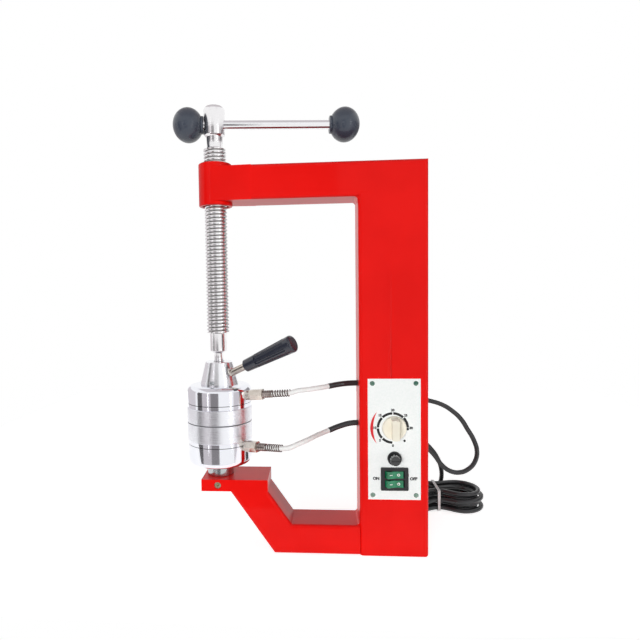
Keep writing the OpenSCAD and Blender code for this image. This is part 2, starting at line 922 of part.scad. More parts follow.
module lead_bushes() {
    color("black")
        for (z = [upper_lead_z, lower_lead_z])
            translate([col_left, 0, z])
                rotate([0, 90, 0])
                    difference() {
                        union() {
                            cylinder(r = bush_r, h = wall);
                            translate([0, 0, wall]) cylinder(r = bush_lip_r, h = bush_lip_t);
                        }
                        translate([0, 0, -over])
                            cylinder(
                                r = lead_r + sleeve_t + loose_fit,
                                h = wall + bush_lip_t + 2 * over
                            );
                    }
}

// Control panel

module panel_screw_places() {
    for (x = [-1, 1], z = [screw_inset, panel_h - screw_inset])
        translate([col_x + x * (panel_w / 2 - screw_inset), front_y, panel_z + z]) children();
}

module panel_plate() {
    color("white")
        difference() {
            translate([col_x - panel_w / 2, panel_front_y, panel_z])
                cube([panel_w, panel_t, panel_h]);
            panel_screw_places() to_front(0, over, 0, screw_r + running_fit, panel_t + 2 * over);
            to_front(
                col_x, front_y + over, dial_z, timer_bush_r + running_fit, panel_t + 2 * over
            );
            to_front(
                col_x, front_y + over, fuse_z, fuse_barrel_r + running_fit, panel_t + 2 * over
            );
            translate([
                col_x - switch_body_w / 2 - running_fit, panel_front_y - over,
                switch_z - switch_body_h / 2 - running_fit
            ])
                cube([
                    switch_body_w + 2 * running_fit, panel_t + 2 * over,
                    switch_body_h + 2 * running_fit
                ]);
        }
}

module panel_screws() {
    color("silver")
        panel_screw_places()
            difference() {
                union() {
                    to_front(0, screw_l - panel_t, 0, screw_r, screw_l);
                    translate([0, -panel_t, 0])
                        rotate([90, 0, 0])
                            rotate_extrude()
                                intersection() {
                                    translate([0, -screw_head_t])
                                        circle(r = norm([screw_head_r, screw_head_t]));
                                    square([screw_head_r, screw_head_t]);
                                }
                }
                translate([
                    -screw_head_r - over, -panel_t - screw_head_t - over, -screw_head_t / 6
                ])
                    cube([2 * (screw_head_r + over), over + screw_head_t / 2, screw_head_t / 3]);
            }
}

module timer_body() {
    color("dimgray")
        difference() {
            union() {
                translate([col_x - timer_w / 2, front_y, dial_z - timer_w / 2])
                    cube([timer_w, timer_t, timer_w]);
                to_front(col_x, front_y, dial_z, timer_bush_r, timer_bush_l);
            }
            to_front(
                col_x, front_y + timer_shaft_l, dial_z, timer_shaft_r + running_fit,
                timer_shaft_l + timer_bush_l + over
            );
        }
}

// Knob with a round skirt and a raised grip whose end points to the dial
module timer_knob() {
    knob_r = timer_knob_d / 2;
    back_y = panel_front_y - skirt_gap;
    front = panel_front_y - timer_knob_h;
    grip_h = back_y - skirt_t - front;
    color("antiquewhite")
        difference() {
            union() {
                translate([col_x, back_y, dial_z])
                    rotate([90, 0, 0])
                        cylinder(r1 = knob_r, r2 = knob_r - chamfer, h = skirt_t);
                intersection() {
                    translate([col_x, back_y - skirt_t / 2, dial_z])
                        rotate([90, 0, 0])
                            cylinder(
                                r1 = knob_r - chamfer, r2 = knob_r - 3 * chamfer,
                                h = grip_h + skirt_t / 2
                            );
                    translate([col_x - grip_bar_w / 2, front - over, dial_z - knob_r])
                        cube([grip_bar_w, timer_knob_h + over, 2 * knob_r]);
                }
                to_front(
                    col_x, front_y + timer_shaft_l - loose_fit, dial_z, timer_shaft_r,
                    timer_shaft_l - loose_fit + front_y - back_y + skirt_t
                );
            }
            difference() {
                to_front(
                    col_x, back_y + over, dial_z, timer_bush_r + loose_fit,
                    over + timer_bush_l + loose_fit - panel_t - skirt_gap
                );
                to_front(col_x, back_y + 2 * over, dial_z, timer_shaft_r, 4 * over + timer_bush_l);
            }
        }
}

module fuse_holder() {
    color("black")
        difference() {
            union() {
                to_front(col_x, front_y + fuse_barrel_l, fuse_z, fuse_barrel_r,
                    fuse_barrel_l + panel_t + over);
                to_front(col_x, panel_front_y, fuse_z, fuse_flange_r, fuse_flange_t);
            }
            to_front(
                col_x, front_y + fuse_barrel_l - fuse_hold, fuse_z, fuse_plug_r + running_fit,
                fuse_barrel_l + panel_t + fuse_flange_t + over
            );
        }
}

// Slotted cap that carries the fuse
module fuse_cap() {
    cap_r = fuse_cap_d / 2;
    back_y = panel_front_y - fuse_flange_t - loose_fit;
    rib_r = 0.7;
    ribs = 12;
    color("black")
        difference() {
            union() {
                translate([col_x, back_y, fuse_z])
                    rotate([90, 0, 0])
                        cylinder(r1 = cap_r, r2 = cap_r - chamfer, h = fuse_cap_l);
                to_front(col_x, back_y + fuse_plug_l, fuse_z, fuse_plug_r, fuse_plug_l + over);
            }
            for (i = [0 : ribs - 1])
                translate([col_x, back_y - chamfer, fuse_z])
                    rotate([90, 360 * i / ribs, 0])
                        translate([cap_r, 0, 0]) cylinder(r = rib_r, h = fuse_cap_l);
            translate([col_x - cap_r, back_y - fuse_cap_l - over, fuse_z - rib_r])
                cube([2 * cap_r, over + 2 * rib_r, 2 * rib_r]);
            to_front(
                col_x, back_y + fuse_plug_l + over, fuse_z, fuse_r + running_fit,
                fuse_hold + over
            );
        }
}

module fuse() {
    fuse_back = panel_front_y - fuse_flange_t - loose_fit + fuse_plug_l - fuse_hold + fuse_l;
    color("lightcyan") to_front(col_x, fuse_back, fuse_z, fuse_r, fuse_l);
}

module at_rocker(level) {
    translate([
        col_x, panel_front_y - bezel_t + rocker_pivot, switch_z + level * rocker_pitch / 2
    ])
        children();
}

module switch_housing() {
    color("darkslategray")
        difference() {
            union() {
                translate([
                    col_x - switch_body_w / 2, panel_front_y, switch_z - switch_body_h / 2
                ])
                    cube([switch_body_w, switch_body_t + panel_t, switch_body_h]);
                translate([col_x, panel_front_y, switch_z])
                    rotate([90, 0, 0])
                        linear_extrude(bezel_t) rounded_rect(bezel_w, bezel_h, bezel_t / 2);
            }
            for (level = [-1, 1])
                at_rocker(level) {
                    translate([-bay_w / 2, -rocker_pivot - over, -bay_h / 2])
                        cube([bay_w, bay_depth + over, bay_h]);
                    cylinder(
                        r = rocker_pin_r + running_fit,
                        h = rocker_h + 2 * (rocker_pin_l + running_fit), center = true
                    );
                }
        }
}

// Rocker at OFF: its right half lies level with the bezel and its left half stands out
module rocker() {
    apex = (rocker_pivot + rocker_proud) / cos(rocker_tilt);
    reach = rocker_r + over;
    rise = reach * tan(rocker_tilt);
    rotate([0, 0, rocker_tilt]) {
        intersection() {
            cylinder(r = rocker_r, h = rocker_h, center = true);
            translate([0, 0, -rocker_h / 2])
                linear_extrude(rocker_h)
                    polygon([
                        [-reach, rocker_back], [-reach, -apex - rise], [0, -apex],
                        [reach, -apex - rise], [reach, rocker_back]
                    ]);
        }
        cylinder(r = rocker_pin_r, h = rocker_h + 2 * rocker_pin_l, center = true);
    }
}

module rocker_upper() {
    color("seagreen") at_rocker(1) rocker();
}

module rocker_lower() {
    color("seagreen") at_rocker(-1) rocker();
}

// Power cord

module cord_gland() {
    back_y = frame_d / 2;
    color("black")
        translate([col_x, back_y, cord_exit_z])
            rotate([-90, 0, 0]) {
                translate([0, 0, -wall - gland_nut_t])
                    cylinder(r = gland_collar_r, h = gland_nut_t, $fn = 6);
                translate([0, 0, -wall - over]) cylinder(r = gland_thread_r, h = wall + 2 * over);
                cylinder(r = gland_collar_r, h = gland_collar_t);
                translate([0, 0, gland_collar_t - over])
                    cylinder(
                        r1 = gland_thread_r + over, r2 = gland_tip_r, h = gland_sleeve_l + over
                    );
            }
}

// The cord runs straight out of its gland and into its plug
cord_steps = 2;
gland_end = [col_x, frame_d / 2 + gland_collar_t + gland_sleeve_l, cord_exit_z];
plug_end = [col_x + plug_at.x, plug_at.y, plug_z];
along_y = [0, cord_stub, 0];
cord_path = smooth(
    concat(
        [gland_end, gland_end + along_y], moved_x(cord_points, col_x),
        [hank_path[0], hank_path[1]]
    ),
    cord_steps
);
tail_path = smooth(
    concat(
        [hank_path[hank_count - 1], hank_path[hank_count]], moved_x(tail_points, col_x),
        [plug_end + along_y, plug_end]
    ),
    cord_steps
);

module power_cord() {
    color("black")
        tube(
            concat([gland_end - along_y, gland_end], cord_path, [hank_path[1]]),
            cord_r, 8
        );
}

module power_cord_hank() {
    color("black")
        tube(
            concat([cord_path[len(cord_path) - 2]], hank_path, [tail_path[1]]),
            cord_r, 6
        );
}

module power_cord_tail() {
    color("black")
        tube(
            concat([hank_path[hank_count - 1]], tail_path, [plug_end, plug_end - along_y]),
            cord_r, 8
        );
}

module cord_tie() {
    front_w = hank_inner_r - hank_draw + hank_step * hank_spiral + cord_r + 2 * loose_fit;
    back_w = hank_inner_r - hank_draw + hank_step + cord_r + 2 * loose_fit;
    tie_h = 3 * hank_layer + cord_d + 2 * loose_fit;
    tie_mid = (back_w - front_w) / 2;
    color("whitesmoke")
        translate([col_x + hank_at.x - tie_w / 2, hank_at.y + tie_mid, tie_h / 2 + tie_t])
            rotate([90, 0, 90])
                linear_extrude(tie_w)
                    difference() {
                        rounded_rect(front_w + back_w + 2 * tie_t, tie_h + 2 * tie_t, cord_r);
                        rounded_rect(front_w + back_w, tie_h, cord_r - tie_t);
                    }
}

module power_plug() {
    color("black")
        translate(plug_end)
            rotate([90, 0, 0]) {
                rotate_extrude()
                    polygon([
                        [0, 0], [plug_neck_r - chamfer, 0], [plug_neck_r + chamfer, plug_sleeve_l],
                        [plug_body_r - 2 * chamfer, plug_sleeve_l + plug_body_l],
                        [plug_body_r, plug_sleeve_l + plug_body_l + chamfer],
                        [plug_body_r, plug_sleeve_l + plug_body_l + plug_face_l - chamfer],
                        [plug_body_r - chamfer, plug_sleeve_l + plug_body_l + plug_face_l],
                        [0, plug_sleeve_l + plug_body_l + plug_face_l]
                    ]);
                for (x = [-1, 1])
                    translate([x * pin_gap / 2, 0, plug_sleeve_l + plug_body_l + plug_face_l - over])
                        cylinder(r = pin_r, h = pin_l + over);
            }
}

// Spindle, its seat and the sliding bar

module thrust_seat() {
    color("goldenrod")
        difference() {
            at_axis(hub_z + loose_fit)
                cylinder(r = seat_r, h = seat_top_z - hub_z - loose_fit);
            at_axis(ball_z) sphere(r = ball_r + running_fit);
        }
}

module screw_spindle() {
    groove = 1;
    color("silver")
        difference() {
            union() {
                at_axis(ball_z) sphere(r = ball_r);
                at_axis(0)
                    rotate_extrude()
                        polygon([
                            [0, ball_z], [ball_neck_d / 2, ball_z],
                            [ball_neck_d / 2, pilot_z - 2 * chamfer],
                            [pilot_d / 2 - 2 * chamfer, pilot_z],
                            [pilot_d / 2, pilot_z + 2 * chamfer],
                            [pilot_d / 2, thread_z], [thread_r - chamfer, thread_z],
                            [thread_r, thread_z + chamfer],
                            [thread_r, thread_top_z - 3 * chamfer],
                            [head_neck_d / 2, thread_top_z],
                            [head_neck_d / 2, head_z - 2 * chamfer],
                            [head_d / 2 - groove, head_z], [head_d / 2, head_z + chamfer],
                            [head_d / 2, spindle_top_z - 2 * chamfer],
                            [head_d / 2 - 2 * chamfer, spindle_top_z], [0, spindle_top_z]
                        ]);
            }
            at_axis(bar_z)
                rotate([0, 90, bar_turn])
                    cylinder(r = bar_d / 2 + running_fit, h = head_d + 2 * over, center = true);
        }
}

bar_in_knob = 14;

// Places children on the sliding bar, at distance x from the spindle axis
module along_bar(x) {
    at_axis(bar_z) rotate([0, 0, bar_turn]) translate([x, 0, 0]) children();
}

module tommy_bar() {
    color("silver")
        along_bar(-knob_face - bar_in_knob)
            rotate([0, 90, 0]) cylinder(d = bar_d, h = bar_l + 2 * bar_in_knob);
}

// Ball knob on the bar's end, flattened along the bar, with its collar at x = 0
module ball_knob() {
    round_r = knob_t / 2 + knob_bulge;
    flat_r = knob_d / 2 - round_r;
    rotate([0, 90, 0])
        difference() {
            union() {
                translate([0, 0, knob_collar_l + knob_t - round_r])
                    rotate_extrude()
                        intersection() {
                            union() {
                                translate([flat_r, 0]) circle(round_r);
                                translate([0, -round_r]) square([flat_r, 2 * round_r]);
                            }
                            translate([0, round_r - knob_t]) square([knob_d, knob_t]);
                        }
                cylinder(r = knob_collar_r, h = knob_collar_l + over);
            }
            translate([0, 0, -over])
                cylinder(d = bar_d + 2 * running_fit, h = bar_in_knob + over + loose_fit);
        }
}

module ball_knob_left() {
    color("darkslategray")
        along_bar(-knob_face) mirror([1, 0, 0]) ball_knob();
}

module ball_knob_right() {
    color("darkslategray")
        along_bar(bar_l - knob_face) ball_knob();
}

// Upper head

module along_handle() {
    at_axis(hub_z + shank_up)
        rotate([0, 0, handle_turn]) rotate([0, 90 - handle_slope, 0]) children();
}

module cone_hub() {
    lug_r = hub_foot_r + lug_proud;
    lug_top_r = hub_top_r + lug_proud;
    color("gainsboro")
        difference() {
            union() {
                at_axis(hub_z)
                    rotate_extrude()
                        polygon([
                            [0, 0], [hub_foot_r, 0], [hub_foot_r, 2 * chamfer],
                            [hub_top_r + chamfer, hub_h - chamfer], [hub_top_r, hub_h], [0, hub_h]
                        ]);
                at_axis(hub_z)
                    rotate([0, 0, handle_turn])
                        intersection() {
                            cylinder(r1 = lug_r, r2 = lug_top_r, h = hub_h - 2 * chamfer);
                            translate([0, -lug_w / 2, 0])
                                cube([lug_r + over, lug_w, hub_h - 2 * chamfer]);
                        }
            }
            at_axis(hub_z - over) cylinder(r = socket_r, h = shoulder_z - hub_z + over);
            at_axis(hub_z) cylinder(r = mouth_r, h = hub_h + over);
            along_handle() translate([0, 0, shank_start]) cylinder(r = shank_r - over / 2, h = grip_start);
            along_handle() translate([0, 0, hub_foot_r - 2 * over]) cylinder(r = spot_r, h = grip_start);
            hub_screw_places()
                cylinder(r = hub_screw_r + running_fit, h = hub_screw_reach + over);
            at_lock_screw() cylinder(r = lock_r + running_fit, h = hub_foot_r);
        }
}

module hub_screw_places() {
    for (i = [0 : 2])
        at_axis(hub_z) rotate([0, 0, 45 + 120 * i]) translate([hub_screw_at, 0, 0]) children();
}

lock_r = 2.5;
lock_up = 4.2;
lock_turn = -103;
lock_wall = 1.5;
lock_start = socket_r + lock_wall;

module at_lock_screw() {
    at_axis(hub_z + lock_up)
        rotate([0, 0, lock_turn]) rotate([0, 90, 0]) translate([0, 0, lock_start]) children();
}

module hub_lock_screw() {
    lock_l = hub_foot_r - lock_start + 2 * over;
    color("silver")
        at_lock_screw()
            difference() {
                cylinder(r = lock_r, h = lock_l);
                translate([0, 0, lock_l - lock_r]) cylinder(r = lock_r / 2, h = lock_r + over, $fn = 6);
            }
}

module hub_screws() {
    color("dimgray")
        hub_screw_places() {
            translate([0, 0, -roof_t - hub_screw_head_t])
                cylinder(r = hub_screw_head_r, h = hub_screw_head_t);
            translate([0, 0, -roof_t - over])
                cylinder(r = hub_screw_r, h = roof_t + over + hub_screw_reach);
        }
}

module handle_shank() {
    color("lightgray")
        along_handle() {
            translate([0, 0, shank_start])
                cylinder(r = shank_r - over / 2 - running_fit, h = hub_foot_r - shank_start);
            translate([0, 0, hub_foot_r - 2 * over + running_fit])
                cylinder(r = shank_r, h = grip_start + grip_socket - hub_foot_r);
        }
}

module handle_grip() {
    lean = atan((grip_thick_r - grip_thin_r) / grip_l);
    color("black")
        along_handle()
            translate([0, 0, grip_start])
                difference() {
                    rotate_extrude()
                        union() {
                            polygon([
                                [0, 0], [grip_thin_r - chamfer, 0], [grip_thin_r, chamfer],
                                [grip_thick_r, grip_l - grip_dome], [0, grip_l - grip_dome]
                            ]);
                            intersection() {
                                translate([0, grip_l - grip_dome]) square([grip_thick_r, grip_dome]);
                                translate([grip_thick_r - grip_dome, grip_l - grip_dome])
                                    circle(grip_dome);
                            }
                            translate([0, grip_l - grip_dome - over])
                                square([grip_thick_r - grip_dome, grip_dome + over]);
                        }
                    translate([0, 0, -over])
                        cylinder(r = shank_r + running_fit, h = grip_socket + over);
                    for (i = [0 : groove_count - 1])
                        rotate([0, 0, 360 * (i + 0.5) / groove_count])
                            translate([grip_thin_r + groove_r / 2, 0, grip_l / 4])
                                rotate([0, lean, 0])
                                    cylinder(r = groove_r, h = grip_l * 0.62);
                }
}

module upper_cover() {
    color("gainsboro")
        difference() {
            at_axis(hub_z) mirror([0, 0, 1]) cover_cup(upper_cover_h);
            hub_screw_places()
                translate([0, 0, -roof_t - over])
                    cylinder(r = hub_screw_r + running_fit, h = roof_t + 2 * over);
            at_upper_port() port_bore();
        }
}

module above_upper_plate(z) {
    at_axis(upper_cover_z + spigot_h + z) children();
}

module upper_plate() {
    color("lightgray") at_axis(upper_plate_z) heated_plate(upper_plate_t);
}

module upper_heater() {
    color("saddlebrown") above_upper_plate(0) heater_ring();
}

module upper_insulation() {
    color("ivory") above_upper_plate(heater_t) insulation_board();
}

module upper_thermostat() {
    color("dimgray") above_upper_plate(0) sensor_disc();
}

module upper_connector_nut() {
    color("tan") at_upper_port() connector_nut(upper_port_slope);
}

module upper_connector_collar() {
    color("rosybrown") at_upper_port() connector_collar();
}

module upper_connector_spring() {
    color("silver") at_upper_port() connector_spring();
}

echo(hank_gap = least_gap(hank_path, cord_d, hank_rings / 3));
echo(spring_gap = least_gap(spring_path, spring_wire, spring_rings - 1));

column();
upper_arm();
screw_boss();
boss_nut();
foot_beam();
riser();
anvil_block();
anvil_set_screw();
lower_post();
post_nut();
lower_cover();
lower_plate();
lower_heater();
lower_insulation();
lower_thermostat();
lower_connector_nut();
lower_connector_collar();
lower_connector_spring();
lower_lead();
lower_lead_sleeve();
upper_lead();
upper_lead_sleeve();
lead_bushes();
panel_plate();
panel_screws();
timer_body();
fuse_holder();
switch_housing();
cord_gland();
power_cord();
power_cord_hank();
power_cord_tail();
cord_tie();
power_plug();
thrust_seat();
screw_spindle();
tommy_bar();
ball_knob_left();
ball_knob_right();
cone_hub();
hub_lock_screw();
hub_screws();
handle_shank();
handle_grip();
upper_cover();
upper_plate();
upper_heater();
upper_insulation();
upper_thermostat();
upper_connector_nut();
upper_connector_collar();
upper_connector_spring();
timer_knob();
rocker_upper();
rocker_lower();
fuse_cap();
fuse();
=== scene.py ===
# %% [markdown]
# # A bench press for tyre repairs
# A red C-shaped frame carries a threaded spindle that presses two heated discs together.
# This lesson loads the press's CAD solids as a fixed frame, and then models and finishes
# what the eye sees: the thread, the covers, the leads, the dial and the coiled mains cord.

# %% Load the CAD frame
import math

import bpy
from mathutils import Matrix, Vector


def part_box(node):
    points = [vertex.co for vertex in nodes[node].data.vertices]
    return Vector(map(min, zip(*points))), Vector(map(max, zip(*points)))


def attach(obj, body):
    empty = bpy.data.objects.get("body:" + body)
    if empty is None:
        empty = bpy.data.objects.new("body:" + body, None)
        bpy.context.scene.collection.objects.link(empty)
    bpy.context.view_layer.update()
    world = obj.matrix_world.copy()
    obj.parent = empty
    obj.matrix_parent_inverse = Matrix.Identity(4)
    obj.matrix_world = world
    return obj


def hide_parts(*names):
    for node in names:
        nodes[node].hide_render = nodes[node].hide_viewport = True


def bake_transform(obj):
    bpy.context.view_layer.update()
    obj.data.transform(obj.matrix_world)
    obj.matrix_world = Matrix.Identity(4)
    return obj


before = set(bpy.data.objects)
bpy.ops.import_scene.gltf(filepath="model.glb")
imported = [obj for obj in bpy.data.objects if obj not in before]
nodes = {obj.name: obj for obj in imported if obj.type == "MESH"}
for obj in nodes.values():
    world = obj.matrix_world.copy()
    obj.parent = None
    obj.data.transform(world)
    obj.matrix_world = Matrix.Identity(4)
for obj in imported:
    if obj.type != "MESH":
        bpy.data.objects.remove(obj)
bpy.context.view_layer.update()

MM = 0.001  # a millimetre in metres

# %% [markdown]
# The main places in this file come from the frame, so a piece lands where its solid is. The
# spindle's axis, the column and the panel could be typed in as numbers, but they are read from
# the boxes of their nodes, and so they stay right when a solid moves.

# %% Read the main places from the frame
def corners(node_name):
    """Lowest and highest corner of a CAD node's box."""
    return [Vector(corner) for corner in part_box(node_name)]


spindle_low, spindle_high = corners("screw_spindle")
column_low, column_high = corners("column")
axis_x = (spindle_low.x + spindle_high.x) / 2
column_x = (column_low.x + column_high.x) / 2
front_y = column_low.y
panel_y = corners("panel_plate")[0].y
print("spindle axis at x =", round(axis_x, 4), "column from", round(column_low.x, 4))

# %% [markdown]
# The camera stands where the photographer stood: a little left of the panel, about 60 cm in
# front of it and 30 cm above the bench. It could be placed by eye, but its place, lens and shift
# were worked out from the press's own straight edges, so that the render can be laid over the
# photograph.

# %% Place the camera
camera_at = Vector((axis_x + 0.1188, -0.629, 0.3048))
camera_yaw, camera_pitch, camera_roll = -0.0751, 0.0496, -0.0144
focal_px, image_px, sensor_mm = 522.17, 640, 36
optical_axis_px = (276.64, 322.76)

forward = Vector((
    math.cos(camera_pitch) * math.sin(camera_yaw),
    math.cos(camera_pitch) * math.cos(camera_yaw),
    -math.sin(camera_pitch),
))
level_right = Vector((math.cos(camera_yaw), -math.sin(camera_yaw), 0))
level_up = level_right.cross(forward)
right = math.cos(camera_roll) * level_right + math.sin(camera_roll) * level_up
up = math.cos(camera_roll) * level_up - math.sin(camera_roll) * level_right

camera_data = bpy.data.cameras.new("camera")
camera = bpy.data.objects.new("camera", camera_data)
bpy.context.scene.collection.objects.link(camera)
bpy.context.scene.camera = camera
turn = Matrix((right, up, -forward)).transposed().to_4x4()
camera.matrix_world = Matrix.Translation(camera_at) @ turn
camera_data.sensor_width = sensor_mm
camera_data.lens = focal_px / image_px * sensor_mm
camera_data.shift_x = (image_px / 2 - optical_axis_px[0]) / image_px
camera_data.shift_y = (optical_axis_px[1] - image_px / 2) / image_px
camera_data.clip_start = 0.01
print("lens:", round(camera_data.lens, 2), "mm")

# %% [markdown]
# ## Finishes
# A finish is a Principled shader. What is even all over is set on the shader's own sockets, and
# noise on Object coordinates adds what varies, such as brush lines, orange peel and moulded
# grain. A picture could be wrapped round each piece instead, but noise needs no unwrapping and
# stays sharp close by. These are the nodes that every finish is made of.

# %% A finish and its nodes
COAT_ROUGHNESS = 0.06


def shader_of(material):
    return material.node_tree.nodes["Principled BSDF"]


def finish(name, colour, roughness, metallic=0.0, coat=0.0, specular=0.5):
    """New material whose values are even all over."""
    material = bpy.data.materials.new(name)
    material.use_nodes = True
    inputs = shader_of(material).inputs
    inputs["Base Color"].default_value = (*colour, 1)
    inputs["Roughness"].default_value = roughness
    inputs["Metallic"].default_value = metallic
    inputs["Coat Weight"].default_value = coat
    inputs["Coat Roughness"].default_value = COAT_ROUGHNESS
    inputs["Specular IOR Level"].default_value = specular
    return material


def link(tree_owner, output, target):
    tree_owner.node_tree.links.new(output, target)


def node(tree_owner, kind, *values, **settings):
    """Adds a node. Numbers fill its sockets, and outputs of other nodes are linked to them."""
    made = tree_owner.node_tree.nodes.new(kind)
    filled = list(zip(made.inputs, values))
    for key, value in settings.items():
        if key in made.inputs:
            filled.append((made.inputs[key], value))
        else:
            setattr(made, key, value)
    for socket, value in filled:
        if isinstance(value, bpy.types.NodeSocket):
            link(tree_owner, value, socket)
        else:
            socket.default_value = value
    return made


def computed(tree_owner, operation, *values):
    """Output of a Math node."""
    return node(tree_owner, "ShaderNodeMath", *values, operation=operation).outputs[0]


def ranged(tree_owner, value, low, high, to_low=0.0, to_high=1.0):
    """A value moved from one range to another and held within it."""
    made = node(tree_owner, "ShaderNodeMapRange", value, low, high, to_low, to_high)
    return made.outputs["Result"]


print("roughness of a coat:", COAT_ROUGHNESS)

# %% [markdown]
# Most finishes vary in three ways: their surface has a fine relief, their gloss wanders a
# little, and their colour drifts between two tints. Each of the three takes a value from 0 to
# 1, which grain makes from noise in the piece's own metres. Noise seldom leaves the middle of
# its range, so only that part is used.

# %% Grain, relief, gloss and tint
GLOSS_SPAN, TINT_SPAN = (0.3, 0.7), (0.35, 0.65)


def own_place(material):
    """The place being shaded, in the piece's own metres."""
    return node(material, "ShaderNodeTexCoord").outputs["Object"]


def grain(material, scale, stretch=(1, 1, 1), detail=3.0):
    """Noise in the piece's own metres, drawn out along its axes."""
    mapping = node(material, "ShaderNodeMapping", own_place(material), Scale=stretch)
    place = mapping.outputs["Vector"]
    noise = node(material, "ShaderNodeTexNoise", Vector=place, Scale=scale, Detail=detail)
    return noise.outputs["Fac"]


def relief(material, height, depth, strength=1.0):
    """Turns a height into bump, depth in metres, on top of any bump already there."""
    normal = shader_of(material).inputs["Normal"]
    bump = node(material, "ShaderNodeBump", Strength=strength, Distance=depth, Height=height)
    if normal.links:
        link(material, normal.links[0].from_socket, bump.inputs["Normal"])
    link(material, bump.outputs["Normal"], normal)


def spread(material, value, low, high):
    """Lets the roughness wander between two values."""
    roughness = ranged(material, value, *GLOSS_SPAN, low, high)
    link(material, roughness, shader_of(material).inputs["Roughness"])


def tinted(material, value, dark, light):
    """Lets the base colour drift between two tints."""
    ramp = node(material, "ShaderNodeValToRGB", value)
    for stop, position, tint in zip(ramp.color_ramp.elements, TINT_SPAN, (dark, light)):
        stop.position = position
        stop.color = (*tint, 1)
    link(material, ramp.outputs["Color"], shader_of(material).inputs["Base Color"])


print("noise used for gloss:", GLOSS_SPAN, "for tints:", TINT_SPAN)

# %% [markdown]
# The frame is sprayed with a glossy red enamel, which flows into a faint orange peel under its
# coat. The panel is sprayed white, with a fine wrinkle. Both could be plain colours, but the
# relief is what makes a highlight on paint wobble.

# %% Painted finishes
red_enamel = finish("red enamel", (0.84, 0.003, 0.002), 0.34, coat=0.16, specular=0.12)
orange_peel = grain(red_enamel, 320)
relief(red_enamel, orange_peel, 0.00012, 0.25)
tinted(red_enamel, grain(red_enamel, 14), (0.79, 0.003, 0.0015), (0.86, 0.005, 0.003))

panel_paint = finish("panel paint", (0.96, 0.98, 0.97), 0.34, coat=0.2)
wrinkle = grain(panel_paint, 520, detail=2.0)
relief(panel_paint, wrinkle, 0.0003, 0.35)
tinted(panel_paint, wrinkle, (0.93, 0.965, 0.95), (0.98, 1.0, 0.99))
print("painted:", red_enamel.name, "and", panel_paint.name)

# %% [markdown]
# A thin straight line runs down the column's front in the photograph, with a fainter one beside
# it and another across the upper corner. They are read here as seams under the enamel. They
# could be cut in the column, but a CAD solid stays as it is, so they are shallow relief in a
# finish of the column's own, and catch light only as the lamps give it.

# %% Seams under the column's enamel
SEAM_DEPTH = 0.8 * MM
FACE_NEAR, FACE_FAR = 0.2 * MM, 1 * MM
column_enamel = red_enamel.copy()
column_enamel.name = "column enamel"


def measured_along(material, vector, axis):
    """How far a vector reaches along an axis."""
    product = node(material, "ShaderNodeVectorMath", vector, axis, operation="DOT_PRODUCT")
    return product.outputs["Value"]


def seam(material, start, end, half_width, first, last):
    """Sunken line on the front face, from one (x, z) place to another."""
    along = Vector((end[0] - start[0], 0, end[1] - start[1]))
    across = Vector((along.z, 0, -along.x)).normalized()
    from_start = node(
        material, "ShaderNodeVectorMath", own_place(material), (start[0], front_y, start[1]),
        operation="SUBTRACT",
    ).outputs["Vector"]
    share = measured_along(material, from_start, along / along.length_squared)
    off_line = computed(material, "ABSOLUTE", measured_along(material, from_start, across))
    off_face = computed(material, "ABSOLUTE", measured_along(material, from_start, (0, 1, 0)))
    sunk = computed(material, "COMPARE", share, 0.5, 0.5)
    for part in (
        ranged(material, off_line, half_width, 0),
        ranged(material, share, 0, 1, first, last),
        ranged(material, off_face, FACE_FAR, FACE_NEAR),
    ):
        sunk = computed(material, "MULTIPLY", sunk, part)
    relief(material, sunk, -SEAM_DEPTH)


seam_x = column_x - 1.3 * MM
side_seam_x = seam_x - 3.2 * MM
# Start, end, half width, and the share of the depth at the start and at the end.
SEAMS = (
    ((seam_x, 0.2), (seam_x, 0.35), 0.9 * MM, 1.1, 0),
    ((side_seam_x, 0.2), (side_seam_x, 0.29), 0.7 * MM, 0.4, 0),
    ((seam_x, 0.005), (seam_x, 0.07), 1.5 * MM, 0.03, 0.1),
    ((column_x - 32.9 * MM, 0.4207), (column_x + 23.9 * MM, 0.4523), 0.7 * MM, 0.25, 0.16),
)
for line in SEAMS:
    seam(column_enamel, *line)
print("seams:", len(SEAMS), "in the", column_enamel.name)

# %% [markdown]
# The cups have a mirror polish, and plates, hub and post show the marks of the lathe. The marks
# could be cut in the mesh, but they are finer than its faces. Noise that changes fast along the
# axis and slowly across it lays them as faint rings in the gloss and the relief.

# %% Metals of the heads
polished_cover = finish("polished cover", (0.87, 0.88, 0.93), 0.1, metallic=1.0)
polish_lines = grain(polished_cover, 60, (1, 1, 30))
relief(polished_cover, polish_lines, 0.00002, 0.2)
spread(polished_cover, polish_lines, 0.07, 0.13)

turned_plate = finish("turned plate", (0.90, 0.91, 0.95), 0.3, metallic=1.0)
turning_marks = grain(turned_plate, 90, (0.6, 0.6, 40))
relief(turned_plate, turning_marks, 0.00004, 0.3)
spread(turned_plate, turning_marks, 0.25, 0.38)

hub_polish = finish("hub polish", (0.92, 0.93, 0.96), 0.2, metallic=1.0)
spread(hub_polish, grain(hub_polish, 90, (0.6, 0.6, 30)), 0.16, 0.28)
relief(hub_polish, grain(hub_polish, 160, (0.6, 0.6, 20)), 0.00001, 0.2)

post_steel = finish("post steel", (0.52, 0.55, 0.56), 0.16, metallic=1.0)
spread(post_steel, grain(post_steel, 120, (1, 1, 12)), 0.1, 0.24)
print("head metals:", polished_cover.name, turned_plate.name, hub_polish.name, post_steel.name)

# %% [markdown]
# The spindle is cut from plain steel, the sliding bar is bright, and the nut and the seat it
# runs in are bronze. One steel could serve for spindle and bar, but the marks run round the one
# and along the other, so each has its noise drawn out its own way.

